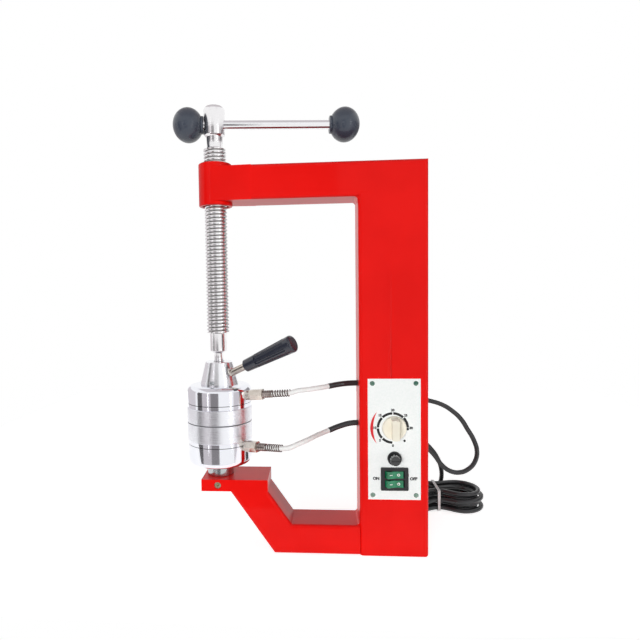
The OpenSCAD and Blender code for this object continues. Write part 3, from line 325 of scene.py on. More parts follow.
# %% Metals of the spindle and the bar
turned_steel = finish("turned steel", (0.88, 0.87, 0.88), 0.2, metallic=1.0)
tool_marks = grain(turned_steel, 120, (1, 1, 12))
relief(turned_steel, tool_marks, 0.00001, 0.15)
spread(turned_steel, tool_marks, 0.14, 0.26)

bright_steel = finish("bright steel", (0.88, 0.88, 0.90), 0.12, metallic=1.0)
spread(bright_steel, grain(bright_steel, 200, (0.1, 1, 1)), 0.08, 0.2)

machined_bronze = finish("machined bronze", (0.55, 0.36, 0.16), 0.32, metallic=1.0)
spread(machined_bronze, grain(machined_bronze, 150, (1, 1, 20)), 0.25, 0.45)
print("spindle metals:", turned_steel.name, bright_steel.name, machined_bronze.name)

# %% [markdown]
# Nuts, collars, springs and screws are small, and most are plated. An even colour would do from
# afar, but close by it looks like paint, so the tint drifts as well as the gloss.

# %% Metals of the small fittings
nickel_brass = finish("nickel brass", (0.66, 0.59, 0.53), 0.18, metallic=1.0)
spread(nickel_brass, grain(nickel_brass, 260), 0.13, 0.26)
tinted(nickel_brass, grain(nickel_brass, 90), (0.54, 0.48, 0.42), (0.72, 0.66, 0.59))

zinc_plate = finish("zinc plate", (0.22, 0.36, 0.28), 0.35, metallic=1.0)
spread(zinc_plate, grain(zinc_plate, 400), 0.26, 0.45)
tinted(zinc_plate, grain(zinc_plate, 120), (0.06, 0.17, 0.12), (0.30, 0.42, 0.35))

spring_wire = finish("spring wire", (0.17, 0.13, 0.12), 0.28, metallic=1.0)
spread(spring_wire, grain(spring_wire, 300), 0.22, 0.36)

collar_steel = finish("collar steel", (0.40, 0.34, 0.32), 0.26, metallic=1.0)
spread(collar_steel, grain(collar_steel, 260), 0.2, 0.36)
tinted(collar_steel, grain(collar_steel, 120), (0.32, 0.27, 0.25), (0.48, 0.42, 0.40))

set_screw_brass = finish("set screw brass", (0.62, 0.56, 0.38), 0.34, metallic=1.0)
spread(set_screw_brass, grain(set_screw_brass, 300), 0.26, 0.42)
tinted(set_screw_brass, grain(set_screw_brass, 240), (0.42, 0.40, 0.26), (0.80, 0.72, 0.52))

pressed_steel = finish("pressed steel", (0.42, 0.42, 0.43), 0.4, metallic=1.0)
spread(pressed_steel, grain(pressed_steel, 180), 0.32, 0.5)
print("fitting metals:", nickel_brass.name, zinc_plate.name, spring_wire.name, collar_steel.name)

# %% [markdown]
# Knobs, grip, housings and the cord are black plastic and rubber. They could share one finish,
# but each has a gloss of its own: a coat makes balls, grip and fuse cap shine, and a fine grain
# keeps the housings dull.

# %% Black mouldings and rubber
black_moulding = finish("black moulding", (0.014, 0.014, 0.016), 0.42)
mould_grain = grain(black_moulding, 900, detail=2.0)
relief(black_moulding, mould_grain, 0.00006, 0.4)
spread(black_moulding, grain(black_moulding, 60), 0.34, 0.5)

ball_moulding = finish("ball moulding", (0.040, 0.050, 0.072), 0.32, coat=0.3)
relief(ball_moulding, grain(ball_moulding, 700), 0.00005, 0.3)
spread(ball_moulding, grain(ball_moulding, 90), 0.28, 0.38)

cable_rubber = finish("cable rubber", (0.012, 0.013, 0.015), 0.3, coat=0.25)
relief(cable_rubber, grain(cable_rubber, 500), 0.00005, 0.3)
spread(cable_rubber, grain(cable_rubber, 45), 0.24, 0.38)

grip_moulding = finish("grip moulding", (0.014, 0.017, 0.030), 0.3, coat=0.5)
relief(grip_moulding, grain(grip_moulding, 900, detail=2.0), 0.00005, 0.25)
spread(grip_moulding, grain(grip_moulding, 60), 0.24, 0.36)

cap_moulding = finish("fuse cap moulding", (0.012, 0.013, 0.014), 0.16, coat=0.8)
relief(cap_moulding, grain(cap_moulding, 700, (1, 0.1, 1), 1.0), 0.0001, 0.4)
print("black:", black_moulding.name, ball_moulding.name, grip_moulding.name, cable_rubber.name)

# %% [markdown]
# The heater leads have a white braid, the timer's knob is ivory, the rockers are green and the
# cord's tie is white. The braid could be woven from tubes, but its threads are finer than a
# pixel here, so it is relief with a little sheen.

# %% Braid, tie and coloured mouldings
white_braid = finish("white braid", (0.90, 0.90, 0.88), 0.55)
braid_strands = grain(white_braid, 700, detail=1.0)
shader_of(white_braid).inputs["Sheen Weight"].default_value = 0.6
relief(white_braid, braid_strands, 0.0002, 0.3)
tinted(white_braid, braid_strands, (0.91, 0.91, 0.89), (0.97, 0.97, 0.96))

ivory_moulding = finish("ivory moulding", (0.92, 0.88, 0.74), 0.32, coat=0.15)
relief(ivory_moulding, grain(ivory_moulding, 600), 0.00004, 0.3)
tinted(ivory_moulding, grain(ivory_moulding, 60), (0.89, 0.84, 0.70), (0.94, 0.90, 0.77))

green_moulding = finish("green moulding", (0.010, 0.20, 0.085), 0.24, coat=0.4)
relief(green_moulding, grain(green_moulding, 500), 0.00004, 0.2)
tinted(green_moulding, grain(green_moulding, 120), (0.008, 0.16, 0.07), (0.016, 0.24, 0.11))

nylon_tie = finish("nylon tie", (0.93, 0.94, 0.94), 0.35)
spread(nylon_tie, grain(nylon_tie, 200), 0.28, 0.45)
print("pale and coloured:", white_braid.name, ivory_moulding.name, green_moulding.name)

# %% [markdown]
# The pieces inside the heads and the column are seen only when they are taken apart. They could
# stay plain, but mica, insulating board and the fuse's glass get their own look too.

# %% Finishes of the hidden pieces
mica_sheet = finish("mica sheet", (0.20, 0.11, 0.05), 0.45)
tinted(mica_sheet, grain(mica_sheet, 150, (1, 1, 8)), (0.14, 0.07, 0.03), (0.28, 0.17, 0.09))
fibre_board = finish("fibre board", (0.72, 0.70, 0.64), 0.8)
relief(fibre_board, grain(fibre_board, 800), 0.0002, 0.6)
fuse_glass = finish("fuse glass", (0.85, 0.92, 0.94), 0.08)
shader_of(fuse_glass).inputs["Transmission Weight"].default_value = 0.8
relief(fuse_glass, grain(fuse_glass, 80), 0.00003, 0.2)
print("hidden:", mica_sheet.name, fibre_board.name, fuse_glass.name)

# %% [markdown]
# Where two turned parts meet, the photograph shows a thin dark line. It could be a groove, but
# cups and plates close flush. So the polish is darkened in a thin ring at the heights of the
# joints, which are read from the nodes' boxes, and only near the rim.

# %% Dark lines at the joints of the heads
COVER_R = 38.8 * MM
# Half width of a line's core and of its edge, how bright it stays, and its dark's share of the
# plain colour.
LINE_CORE, LINE_EDGE, LINE_LIGHT, LINE_SHADE = 0.3 * MM, 0.6 * MM, 0.2, 0.1
RIM_NEAR, RIM_FAR = 0.6 * MM, 1.6 * MM  # how far in from the rim the lines fade


def about_spindle(material):
    """Distance from the spindle's axis, and height, of the place being shaded."""
    place = own_place(material)
    centred = node(material, "ShaderNodeMapping", place, Location=(-axis_x, 0, 0))
    flat = node(
        material, "ShaderNodeVectorMath", centred.outputs["Vector"], (1, 1, 0),
        operation="MULTIPLY",
    )
    reach = node(material, "ShaderNodeVectorMath", flat.outputs["Vector"], operation="LENGTH")
    height = node(material, "ShaderNodeSeparateXYZ", place).outputs["Z"]
    return reach.outputs["Value"], height


def darkened(material, bright, dark):
    """Mixes the base colour with a dark one, which shows alone where bright is 0."""
    base = shader_of(material).inputs["Base Color"]
    plain = base.links[0].from_socket if base.links else base.default_value
    mixed = node(material, "ShaderNodeMixRGB", bright, dark, plain)
    link(material, mixed.outputs["Color"], base)


def ringed(material, heights, radius):
    """Darkens thin rings of a radius at given heights."""
    reach, height_here = about_spindle(material)
    bright = 1.0
    for height in heights:
        off_joint = computed(
            material, "ABSOLUTE", computed(material, "SUBTRACT", height_here, height)
        )
        line = ranged(material, off_joint, LINE_CORE, LINE_EDGE, LINE_LIGHT)
        bright = computed(material, "MULTIPLY", bright, line)
    inward = ranged(material, reach, radius - RIM_NEAR, radius - RIM_FAR)
    bright = computed(material, "MAXIMUM", bright, inward)
    base = shader_of(material).inputs["Base Color"].default_value
    darkened(material, bright, [channel * LINE_SHADE for channel in base])


plate_low, plate_high = corners("lower_plate")
joint_heights = [plate_low.z, plate_high.z, corners("upper_plate")[1].z]
ringed(turned_plate, joint_heights, (plate_high.x - plate_low.x) / 2)
ringed(polished_cover, joint_heights, COVER_R)
print("joints at heights", [round(height, 4) for height in joint_heights])

# %% [markdown]
# The frame, the panel and the fittings keep their CAD solids, which are never moved or cut
# here. Their finishes could be given one by one, but a table of finishes and nodes is easier to
# read and to change.

# %% Give the CAD nodes their finishes
CAD_FINISHES = {
    red_enamel: ["upper_arm", "screw_boss", "foot_beam", "riser", "anvil_block"],
    column_enamel: ["column"],
    machined_bronze: ["boss_nut", "thrust_seat"],
    zinc_plate: ["panel_screws"],
    post_steel: ["lower_post", "post_nut", "hub_screws", "hub_lock_screw"],
    hub_polish: ["cone_hub"],
    set_screw_brass: ["anvil_set_screw"],
    bright_steel: ["tommy_bar"],
    polished_cover: ["lower_cover", "upper_cover"],
    turned_plate: ["lower_plate", "upper_plate"],
    nickel_brass: ["lower_connector_nut", "upper_connector_nut", "handle_shank"],
    collar_steel: ["lower_connector_collar", "upper_connector_collar"],
    pressed_steel: ["timer_body", "lower_thermostat", "upper_thermostat"],
    mica_sheet: ["lower_heater", "upper_heater"],
    fibre_board: ["lower_insulation", "upper_insulation"],
    panel_paint: ["panel_plate"],
    black_moulding: [
        "lead_bushes", "fuse_holder", "switch_housing", "cord_gland", "power_plug",
        "lower_lead_sleeve", "upper_lead_sleeve",
    ],
    grip_moulding: ["handle_grip"],
    cap_moulding: ["fuse_cap"],
    nylon_tie: ["cord_tie"],
    green_moulding: ["rocker_upper", "rocker_lower"],
    ivory_moulding: ["timer_knob"],
    ball_moulding: ["ball_knob_left", "ball_knob_right"],
    fuse_glass: ["fuse"],
}
for material, finished_nodes in CAD_FINISHES.items():
    for name in finished_nodes:
        nodes[name].data.materials.clear()
        nodes[name].data.materials.append(material)
print("finishes given:", len(CAD_FINISHES))

# %% [markdown]
# ## Mains cord
# The cord leaves the back of the column, arcs out to the right, turns back behind the column and
# comes down into a tied hank, with the plug behind the column. It could be dropped there by a
# simulation, but the photograph shows how most of it lies, so it is one spline: places in
# millimetres listed one by one, the hank's loops by a formula, and then listed places again.

# %% Route of the mains cord
CORD_DIAMETER = 6.5 * MM
gland_end = (column_x / MM, 54, 168.5)
cord_places = [
    gland_end, (50.5, 56, 168.5), (50.9, 66, 168.4), (55.2, 79, 167.9), (63.9, 89.8, 167.3),
    (77, 98, 165.8), (96, 102.5, 161.9), (116.5, 104, 158), (135.4, 105.5, 151.9),
    (150.5, 107, 142.2), (162, 108, 131), (171, 108.5, 116.6), (179.7, 108.6, 101.3),
    (183.9, 107.7, 85.1), (180.5, 106.2, 71.4), (171.5, 104.6, 61.6), (159, 102.8, 57.3),
    (145.7, 101.1, 59.7), (133.3, 99.4, 69.2), (124, 97, 82.1), (113, 93.5, 94),
    (99.5, 91.6, 103.5), (84.2, 95.2, 109.5), (72.7, 105.6, 111.5), (67.5, 119.8, 110.5),
    (69.6, 135, 107.5), (78.6, 148.3, 103), (92.6, 157.9, 98), (108.5, 162.9, 91.3),
    (122.8, 165, 82.4), (134, 165.3, 71.3), (142.4, 165.3, 59), (147.6, 165.3, 45.3),
    (149.1, 165.3, 31.5), (147, 165.3, 20.9), (141.2, 165.3, 11.9), (132.3, 165.3, 6),
    (122, 165.3, 3.7), (110, 165.3, 3.3),
]
tail_places = [
    (94.4, 162, 23.3), (83.4, 161.6, 20.6), (72.4, 156.6, 16.8), (62.2, 146.9, 14.1),
    (54.4, 133.6, 13.7), (50.6, 119.8, 14.8), (50.5, 110, 15), (50.5, 108, 15),
]
print("places before and after the hank:", len(cord_places), len(tail_places))

# %% [markdown]
# The hank is a flat coil of six turns, each with two straight runs and two round ends. It winds
# inwards, climbs, and winds outwards on the next layer, one and a half turns to a layer, and
# the tie draws its runs together in the middle. The loops could be placed by hand too, but a
# formula keeps them a cord's width apart.

# %% Shape of one loop
HANK_AT = (132, 131)
HALF_RUN, INNER_R, STEP = 34, 19.5, 7.9  # straight half run, inner bend, growth per turn
LAYER, SPIRAL = 6.95, 1.5                # height of a layer, turns in a layer
DRAW, TIE_LIFT = 11, 1.3                 # how far the tie draws a run in, and lifts it


def waist(x):
    return 0.5 + 0.5 * math.cos(math.pi * min(1, abs(x) / HALF_RUN))


def eased(x):
    x = min(1, max(0, x))
    return x * x * (3 - 2 * x)


def loop_radius(t):
    turns_in = SPIRAL - t if t < 0 else abs(SPIRAL - t % (2 * SPIRAL))
    return INNER_R + STEP * turns_in


def climbed(t):
    return LAYER * sum(eased(2 * (t - k * SPIRAL) + 0.5) for k in (1, 2, 3))


print("bends of a layer from", loop_radius(SPIRAL), "to", loop_radius(0), "mm")

# %% [markdown]
# A place on the hank is found by counting turns. The count gives layer and radius, and its
# fraction says whether the cord is on a run or in a bend. The four cases could be one smooth
# curve, but straight runs and half circles are what a hand winds.

# %% Places along the hank
HANK_FROM, HANK_TO, RINGS_PER_TURN = -0.375, 5.6, 24


def hank_place(t):
    u, a, r = t - math.floor(t), HALF_RUN, loop_radius(t)
    if u < 1 / 8 or u >= 7 / 8:
        x = 8 * a * (u if u < 1 / 8 else u - 1)
        y = -r + DRAW * waist(x)
    elif u < 3 / 8:
        angle = math.radians(720 * u - 180)
        x, y = a + r * math.cos(angle), r * math.sin(angle)
    elif u < 5 / 8:
        x = 4 * a - 8 * a * u
        y = r - DRAW * waist(x)
    else:
        angle = math.radians(720 * u - 360)
        x, y = -a + r * math.cos(angle), r * math.sin(angle)
    lift = TIE_LIFT * waist(x)
    return (HANK_AT[0] + x, HANK_AT[1] + y, CORD_DIAMETER / 2 / MM + climbed(t) + lift)


ring_count = math.floor((HANK_TO - HANK_FROM) * RINGS_PER_TURN)
hank_places = [
    hank_place(HANK_FROM + (HANK_TO - HANK_FROM) * i / ring_count) for i in range(ring_count + 1)
]
print("places in the hank:", len(hank_places))

# %% [markdown]
# This could be written out for every piece, but one helper keeps a line from being forgotten.
# The material comes first, because a live curve that gets it after its body is measured too
# large.

# %% Hand over a finished piece
def coated(piece, material):
    piece.data.materials.clear()
    piece.data.materials.append(material)


def entered(stands_for):
    """Hides the CAD nodes that a piece stands for."""
    if stands_for:
        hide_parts(*stands_for)


def handed_over(piece, body, material, slot, *stands_for):
    """Hands over a piece that moves with one body."""
    coated(piece, material)
    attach(piece, body)
    entered(stands_for)
    print(piece.name, "rides on", body)


# %% [markdown]
# The cord could be a row of cylinders, but they would kink where they meet. A curve with a
# round bevel runs smoothly through all the places and is equally thick throughout.

# %% One spline through all its places
def spline(name, places, diameter, resolution=4, sides=3):
    """A round cord along a smooth curve through places given in millimetres."""
    curve = bpy.data.curves.new(name, "CURVE")
    curve.dimensions = "3D"
    curve.bevel_depth = diameter / 2
    curve.bevel_resolution = sides
    curve.resolution_u = resolution
    curve.use_fill_caps = True
    run = curve.splines.new("BEZIER")
    run.bezier_points.add(len(places) - 1)
    for point, place in zip(run.bezier_points, places):
        point.co = Vector(place) * MM
        point.handle_left_type = point.handle_right_type = "AUTO"
    piece = bpy.data.objects.new(name, curve)
    bpy.context.scene.collection.objects.link(piece)
    return piece


def length_of(places):
    return sum((Vector(b) - Vector(a)).length for a, b in zip(places, places[1:])) * MM


cord_route = cord_places + hank_places + tail_places
mains_cord = spline("mains_cord", cord_route, CORD_DIAMETER)
handed_over(
    mains_cord, "frame", cable_rubber, "black_cable",
    "power_cord", "power_cord_hank", "power_cord_tail",
)
print("cord route along its places:", round(length_of(cord_route), 3), "m")

# %% [markdown]
# ## Studio
# The floor is white to the camera, to mirrors and to glass, while matt surfaces get little
# light from it, so the colours stay as written. It could simply be lit until it burns out, but
# then it would throw its light back up into the paint. So the rays that see it are told apart,
# and get plain white on top.

# %% Floor
FLOOR_GLOW = 0.8
FLOOR_AT, FLOOR_SIZE = (0, 0.44, -0.5 * MM), (1.6, 1.2, 1)


def nothing_selected():
    bpy.ops.object.select_all(action="DESELECT")


def named(name):
    """Names the piece that an operator has just made."""
    piece = bpy.context.object
    piece.name = name
    piece.data.name = name
    return piece


def seen_ray(tree_owner):
    """1 for rays of the camera, of mirrors and of glass, 0 for matt light."""
    rays = node(tree_owner, "ShaderNodeLightPath").outputs
    seen = computed(tree_owner, "MAXIMUM", rays["Is Camera Ray"], rays["Is Glossy Ray"])
    return computed(tree_owner, "MAXIMUM", seen, rays["Is Transmission Ray"])


def surface_of(material):
    return material.node_tree.nodes["Material Output"].inputs["Surface"]


def add_where_seen(material, strength):
    """Adds plain white to a surface for the rays that see it."""
    level = computed(material, "MULTIPLY", seen_ray(material), strength)
    glow = node(material, "ShaderNodeEmission", Strength=level)
    matt = shader_of(material).outputs["BSDF"]
    both = node(material, "ShaderNodeAddShader", matt, glow.outputs[0])
    link(material, both.outputs[0], surface_of(material))


floor_finish = finish("floor", (0.80, 0.80, 0.80), 0.9, specular=0.0)
spread(floor_finish, grain(floor_finish, 3), 0.85, 0.95)
add_where_seen(floor_finish, FLOOR_GLOW)
nothing_selected()
bpy.ops.mesh.primitive_plane_add(size=1, location=FLOOR_AT)
floor = named("floor")
floor.scale = FLOOR_SIZE
floor.data.materials.append(floor_finish)
print("floor:", FLOOR_SIZE[0], "by", FLOOR_SIZE[1], "m")

# %% [markdown]
# The world is the backdrop. A white wall could stand behind the press, but it would have an
# edge and take shade. The world has neither, and it too is white only to the rays that see it.

# %% World
WORLD_SEEN, WORLD_LIGHT = 1.0, 0.14
world = bpy.data.worlds.new("studio")
bpy.context.scene.world = world
world.use_nodes = True
background = world.node_tree.nodes["Background"]
background.inputs["Color"].default_value = (1, 1, 1, 1)
strength = ranged(world, seen_ray(world), 0, 1, WORLD_LIGHT, WORLD_SEEN)
link(world, strength, background.inputs["Strength"])
print("world:", WORLD_SEEN, "where it is seen,", WORLD_LIGHT, "on matt surfaces")

# %% [markdown]
# Polished metal looks flat in an all white room, because it has nothing dark to mirror. The
# bands could be painted on it, but then they would turn with the piece. So grey boards stand
# round the press and hang above it, as flags do in a photographer's studio. Only mirrors see
# them.

# %% A grey board
BOARD_TINT = (1.03, 0.97, 1)


def only(piece):
    """Leaves just this piece selected and active, in object mode."""
    if bpy.context.object and bpy.context.object.mode != "OBJECT":
        bpy.ops.object.mode_set(mode="OBJECT")
    nothing_selected()
    piece.select_set(True)
    bpy.context.view_layer.objects.active = piece


def placed(piece, at=(0, 0, 0), turned_by=(0, 0, 0)):
    """Moves a piece to its place and writes the place into its mesh."""
    only(piece)
    piece.rotation_euler = turned_by
    piece.location = at
    bpy.ops.object.transform_apply(location=True, rotation=True, scale=True)


def board(name, level, at, turned_by, width, height):
    """Grey board that only mirrors see."""
    grey = bpy.data.materials.new(name)
    grey.use_nodes = True
    colour = (*(level * share for share in BOARD_TINT), 1)
    glow = node(grey, "ShaderNodeEmission", colour)
    link(grey, glow.outputs[0], surface_of(grey))
    nothing_selected()
    bpy.ops.mesh.primitive_plane_add(size=1)
    made = named(name)
    made.scale = (width, height, 1)
    placed(made, at, turned_by)
    made.data.materials.append(grey)
    made.visible_camera = made.visible_diffuse = made.visible_shadow = False
    made.visible_transmission = False


print("tint of the boards:", BOARD_TINT)

# %% [markdown]
# Where a board stands decides where its band lies on the metal, so the boards are given by
# bearings from the front to the right, as they were matched to the photograph.

# %% Boards round the press
BOARD_DISTANCE, BOARD_HEIGHT = 2.3, 2.1
CEILING_HEIGHT, CEILING_SIZE, CEILING_LEVEL = 2.0, 2.8, 0.62
# First and last bearing in degrees, and how pale the board is.
BOARDS = (
    (-150, -84, 0.66), (-74, -54, 0.12), (-54, -22, 0.58), (-22, 6, 0.24), (60, 84, 0.62),
    (84, 100, 0.14), (100, 124, 0.42), (124, 150, 0.3),
)
for count, (first, last, level) in enumerate(BOARDS):
    middle = math.radians((first + last) / 2)
    half_span = math.radians(last - first) / 2
    board(
        f"board_{count + 1}", level,
        (axis_x + BOARD_DISTANCE * math.sin(middle), -BOARD_DISTANCE * math.cos(middle), 0),
        (math.pi / 2, 0, middle), 2 * BOARD_DISTANCE * math.tan(half_span), BOARD_HEIGHT,
    )
board(
    "ceiling", CEILING_LEVEL, (axis_x, 0, CEILING_HEIGHT), (math.pi, 0, 0),
    CEILING_SIZE, CEILING_SIZE,
)
print("boards:", len(BOARDS), "upright and a ceiling")

# %% [markdown]
# Three wide lamps light the matt surfaces and stay out of the mirrors. Two narrow strips are
# mirrored, and draw thin highlights down the cups and the enamel. The world could light the
# press alone, but then its forms would have hardly any shade.

# %% Lamps
PRESS_MIDDLE = Vector((0, 0, 0.27))


def lamp(name, at, width, height, watts, mirrored=False):
    """Lamp that faces the press."""
    light = bpy.data.lights.new(name, "AREA")
    light.shape = "RECTANGLE"
    light.size = width
    light.size_y = height
    light.energy = watts
    made = bpy.data.objects.new(name, light)
    made.location = at
    made.rotation_euler = (Vector(at) - PRESS_MIDDLE).to_track_quat("Z", "Y").to_euler()
    made.visible_glossy = mirrored
    bpy.context.scene.collection.objects.link(made)
    print(name, watts, "W")


lamp("key lamp", (-0.55, -1.75, 0.31), 0.9, 0.9, 26.5)
lamp("side lamp", (1.5, -0.2, 0.22), 0.5, 0.7, 8)
lamp("back lamp", (-0.5, 1.8, 0.22), 0.9, 0.7, 13)
lamp("left strip", (-0.95, -1.3, 0.3), 0.05, 1.3, 0.45, mirrored=True)
lamp("right strip", (1.15, -1.1, 0.3), 0.05, 1.3, 1.2, mirrored=True)
# Standard shows the colours as they are written.
bpy.context.scene.view_settings.view_transform = "Standard"

# %% [markdown]
# ## Spindle
# The spindle is turned from one bar: a head for the sliding bar, a neck, a long coarse thread, a
# smooth end and the ball it swivels on. It could be stacked from cylinders, but then each step
# would be a seam. Instead one circle is extruded ring by ring along a profile, as on a lathe.

# %% Turning a profile, as on a lathe
def arc(centre_r, centre_z, radius, first, last, steps):
    """Points on a round stretch of a profile, angles in degrees from +r towards +z."""
    angles = [math.radians(first + (last - first) * i / steps) for i in range(steps + 1)]
    return [
        (centre_r + radius * math.cos(a), centre_z + radius * math.sin(a)) for a in angles
    ]


def on_whole(piece, operator, **settings):
    """Runs an edit mode operator on the whole of a piece."""
    only(piece)
    bpy.ops.object.mode_set(mode="EDIT")
    bpy.ops.mesh.select_all(action="SELECT")
    operator(**settings)
    bpy.ops.object.mode_set(mode="OBJECT")


def turned(name, profile, segments):
    """Extrudes a filled circle ring by ring along Z through (radius, height) pairs."""
    nothing_selected()
    radius, height = profile[0]
    bpy.ops.mesh.primitive_circle_add(
        vertices=segments, radius=radius, fill_type="NGON", location=(0, 0, height)
    )
    piece = named(name)
    bpy.ops.object.transform_apply(location=True, rotation=True, scale=True)
    bpy.ops.object.mode_set(mode="EDIT")
    bpy.ops.mesh.select_all(action="SELECT")
    for next_radius, next_height in profile[1:]:
        bpy.ops.mesh.extrude_region_move(
            TRANSFORM_OT_translate={"value": (0, 0, next_height - height)}
        )
        ratio = next_radius / radius
        bpy.ops.transform.resize(value=(ratio, ratio, 1), center_override=(0, 0, next_height))
        radius, height = next_radius, next_height
    on_whole(piece, bpy.ops.mesh.normals_make_consistent, inside=False)
    print(name, "turned from", len(profile), "places of its profile")
    return piece


# %% [markdown]
# The profile runs from the ball up to the head. Its lengths are measured from the head's top,
# which the solid gives, and every edge is eased by a short slope, as a turner leaves it.

# %% Turn the spindle's body
THREAD_R, ROOT_R, PITCH = 13.5 * MM, 11.6 * MM, 4.2 * MM
HEAD_R, NECK_R, END_R, STEM_R, SWIVEL_BALL_R = 12.5 * MM, 9.7 * MM, 10 * MM, 5.25 * MM, 8.5 * MM
HEAD_L, NECK_L, THREAD_L, END_L = 34 * MM, 15 * MM, 221 * MM, 23 * MM
spindle_top = spindle_high.z
head_low = spindle_top - HEAD_L
thread_high = head_low - NECK_L
thread_low = thread_high - THREAD_L
end_low = thread_low - END_L
ball_z = spindle_low.z + SWIVEL_BALL_R

body_profile = arc(0, ball_z, SWIVEL_BALL_R, -84, 50, 12) + [
    (STEM_R, end_low - 1.6 * MM), (8.4 * MM, end_low), (9.2 * MM, end_low + 0.4 * MM),
    (END_R, end_low + 1.6 * MM), (END_R, thread_low - 0.4 * MM),
    (ROOT_R, thread_low + 0.4 * MM), (ROOT_R, thread_high - 2.2 * MM),
    (NECK_R, thread_high + 0.5 * MM), (NECK_R, head_low - 1.6 * MM),
    (11.5 * MM, head_low), (12.3 * MM, head_low + 0.4 * MM), (HEAD_R, head_low + 1.2 * MM),
    (HEAD_R, spindle_top - 3.6 * MM), (12.1 * MM, spindle_top - 2.4 * MM),
    (10.9 * MM, spindle_top - 0.6 * MM), (10 * MM, spindle_top),
]
spindle = turned("threaded_spindle", body_profile, 64)

# %% [markdown]
# The sliding bar passes through the spindle's head, turned a few degrees from the line of the
# press's front. It could simply stick in solid metal, but the edge of its hole is seen round
# it, so the hole is drilled with a cylinder and the Boolean modifier.

# %% Drill the hole for the sliding bar
BAR_TURN = math.radians(6)
HOLE_R, HOLE_UP, DRILL_L = 5.45 * MM, 13 * MM, 40 * MM
bar_z = head_low + HOLE_UP


def modified(piece, kind, **settings):
    """Adds one modifier and applies it."""
    only(piece)
    modifier = piece.modifiers.new(kind.title(), kind)
    for key, value in settings.items():
        setattr(modifier, key, value)
    bpy.ops.object.modifier_apply(modifier=modifier.name)


nothing_selected()
bpy.ops.mesh.primitive_cylinder_add(
    vertices=48, radius=HOLE_R, depth=DRILL_L, location=(0, 0, bar_z),
    rotation=(0, math.pi / 2, BAR_TURN),
)
drill = named("drill")
modified(spindle, "BOOLEAN", object=drill, operation="DIFFERENCE", solver="EXACT")
bpy.data.objects.remove(drill)
print("faces after drilling:", len(spindle.data.polygons))

# %% [markdown]
# The thread is coarse, with flat crests and sloping flanks. It could be a stack of rings, but
# rings don't climb. Four corners are the section of one tooth, and the Screw modifier winds
# them up, one pitch to a turn.

# %% Wind the thread
TOOTH_FOOT_R = ROOT_R - 0.4 * MM
# Radius of each corner, and its height as a share of the pitch.
TOOTH = [(TOOTH_FOOT_R, 0.04), (THREAD_R, 0.26), (THREAD_R, 0.74), (TOOTH_FOOT_R, 0.96)]
nothing_selected()
bpy.ops.mesh.primitive_circle_add(vertices=4, radius=1, fill_type="NOTHING")
thread = named("thread")
for corner, (radius, share) in zip(thread.data.vertices, TOOTH):
    corner.co = (radius, 0, thread_low + (share - 1) * PITCH)
turn_count = math.ceil((thread_high - thread_low) / PITCH) + 1
modified(
    thread, "SCREW", axis="Z", angle=math.tau, screw_offset=PITCH, iterations=turn_count,
    steps=36, render_steps=36, use_merge_vertices=True,
)
print("thread turns:", turn_count)

# %% [markdown]
# The wound thread starts and stops in mid air. It could taper out, but on the press it ends
# square at the turned shoulders, so both ends are cut off level, closed, and joined to the body.

# %% Trim the thread and join it to the body
THREAD_ENDS = ((thread_low + 0.6 * MM, -1), (thread_high - 1.4 * MM, 1))
for height, side in THREAD_ENDS:
    on_whole(
        thread, bpy.ops.mesh.bisect, plane_co=(0, 0, height), plane_no=(0, 0, side),
        use_fill=True, clear_outer=True,
    )
on_whole(thread, bpy.ops.mesh.normals_make_consistent, inside=False)
only(spindle)
thread.select_set(True)
bpy.ops.object.join()
print("thread from", round(THREAD_ENDS[0][0], 4), "to", round(THREAD_ENDS[1][0], 4))

# %% [markdown]
# In the photograph the grooves of the thread are darker than its crests, and that shade is
# painted into the steel's colour here. The roots could be a material of their own, but the
# change is gradual, so the steel's colour is darkened by its distance from the spindle's axis.

# %% Painted shade in the thread's roots
# Painted shade: the colour of the thread's roots is darkened where its grooves lie in shade.
PAINTED_ROOT_SHADE = (0.44, 0.43, 0.42, 1)
reach, height_here = about_spindle(turned_steel)
bright = ranged(turned_steel, reach, ROOT_R + 0.2 * MM, THREAD_R - 0.3 * MM)
for height, side in ((thread_low, -1), (thread_high - 1 * MM, 1)):
    beyond = ranged(turned_steel, height_here, height, height + side * 0.4 * MM)
    bright = computed(turned_steel, "MAXIMUM", beyond, bright)
darkened(turned_steel, bright, PAINTED_ROOT_SHADE)
print("roots of the thread:", PAINTED_ROOT_SHADE[:3])

# %% [markdown]
# No machined edge is quite sharp. The edges could be eased in the profile, but the thread isn't
# part of it, so the Bevel modifier takes about a tenth of a millimetre off all of them at once.

# %% Ease the edges and hand the spindle over
def smooth(piece, degrees):
    """Shades a piece smooth, except at edges sharper than an angle."""
    only(piece)
    bpy.ops.object.shade_smooth_by_angle(angle=math.radians(degrees))


modified(spindle, "BEVEL", width=0.12 * MM, segments=1, limit_method="ANGLE")
placed(spindle, (axis_x, 0, 0))
smooth(spindle, 40)
handed_over(spindle, "screw", turned_steel, "turned_steel", "screw_spindle")
print("spindle faces:", len(spindle.data.polygons))

# %% [markdown]
# ## Ball knobs
# Each end of the sliding bar carries a moulded ball, a little flattened along the bar, with a
# short collar. A sphere could be squeezed and a collar added, but one profile, an ellipse cut
# by the collar and turned about the bar's axis, gives both without a seam.

# %% Turn the two ball knobs
BALL_R, BALL_HALF, COLLAR_R, COLLAR_L = 20.4 * MM, 18.2 * MM, 10.5 * MM, 2.5 * MM
KNOB_L, LAST_ANGLE, BALL_STEPS = 36.5 * MM, 88, 22
LEFT_FACE, RIGHT_FACE = -12.8 * MM, 138.2 * MM


def aimed(piece, at, direction):
    """Places a piece made along +Z so that it points in a direction."""
    placed(piece, at, Vector(direction).to_track_quat("Z", "Y").to_euler())


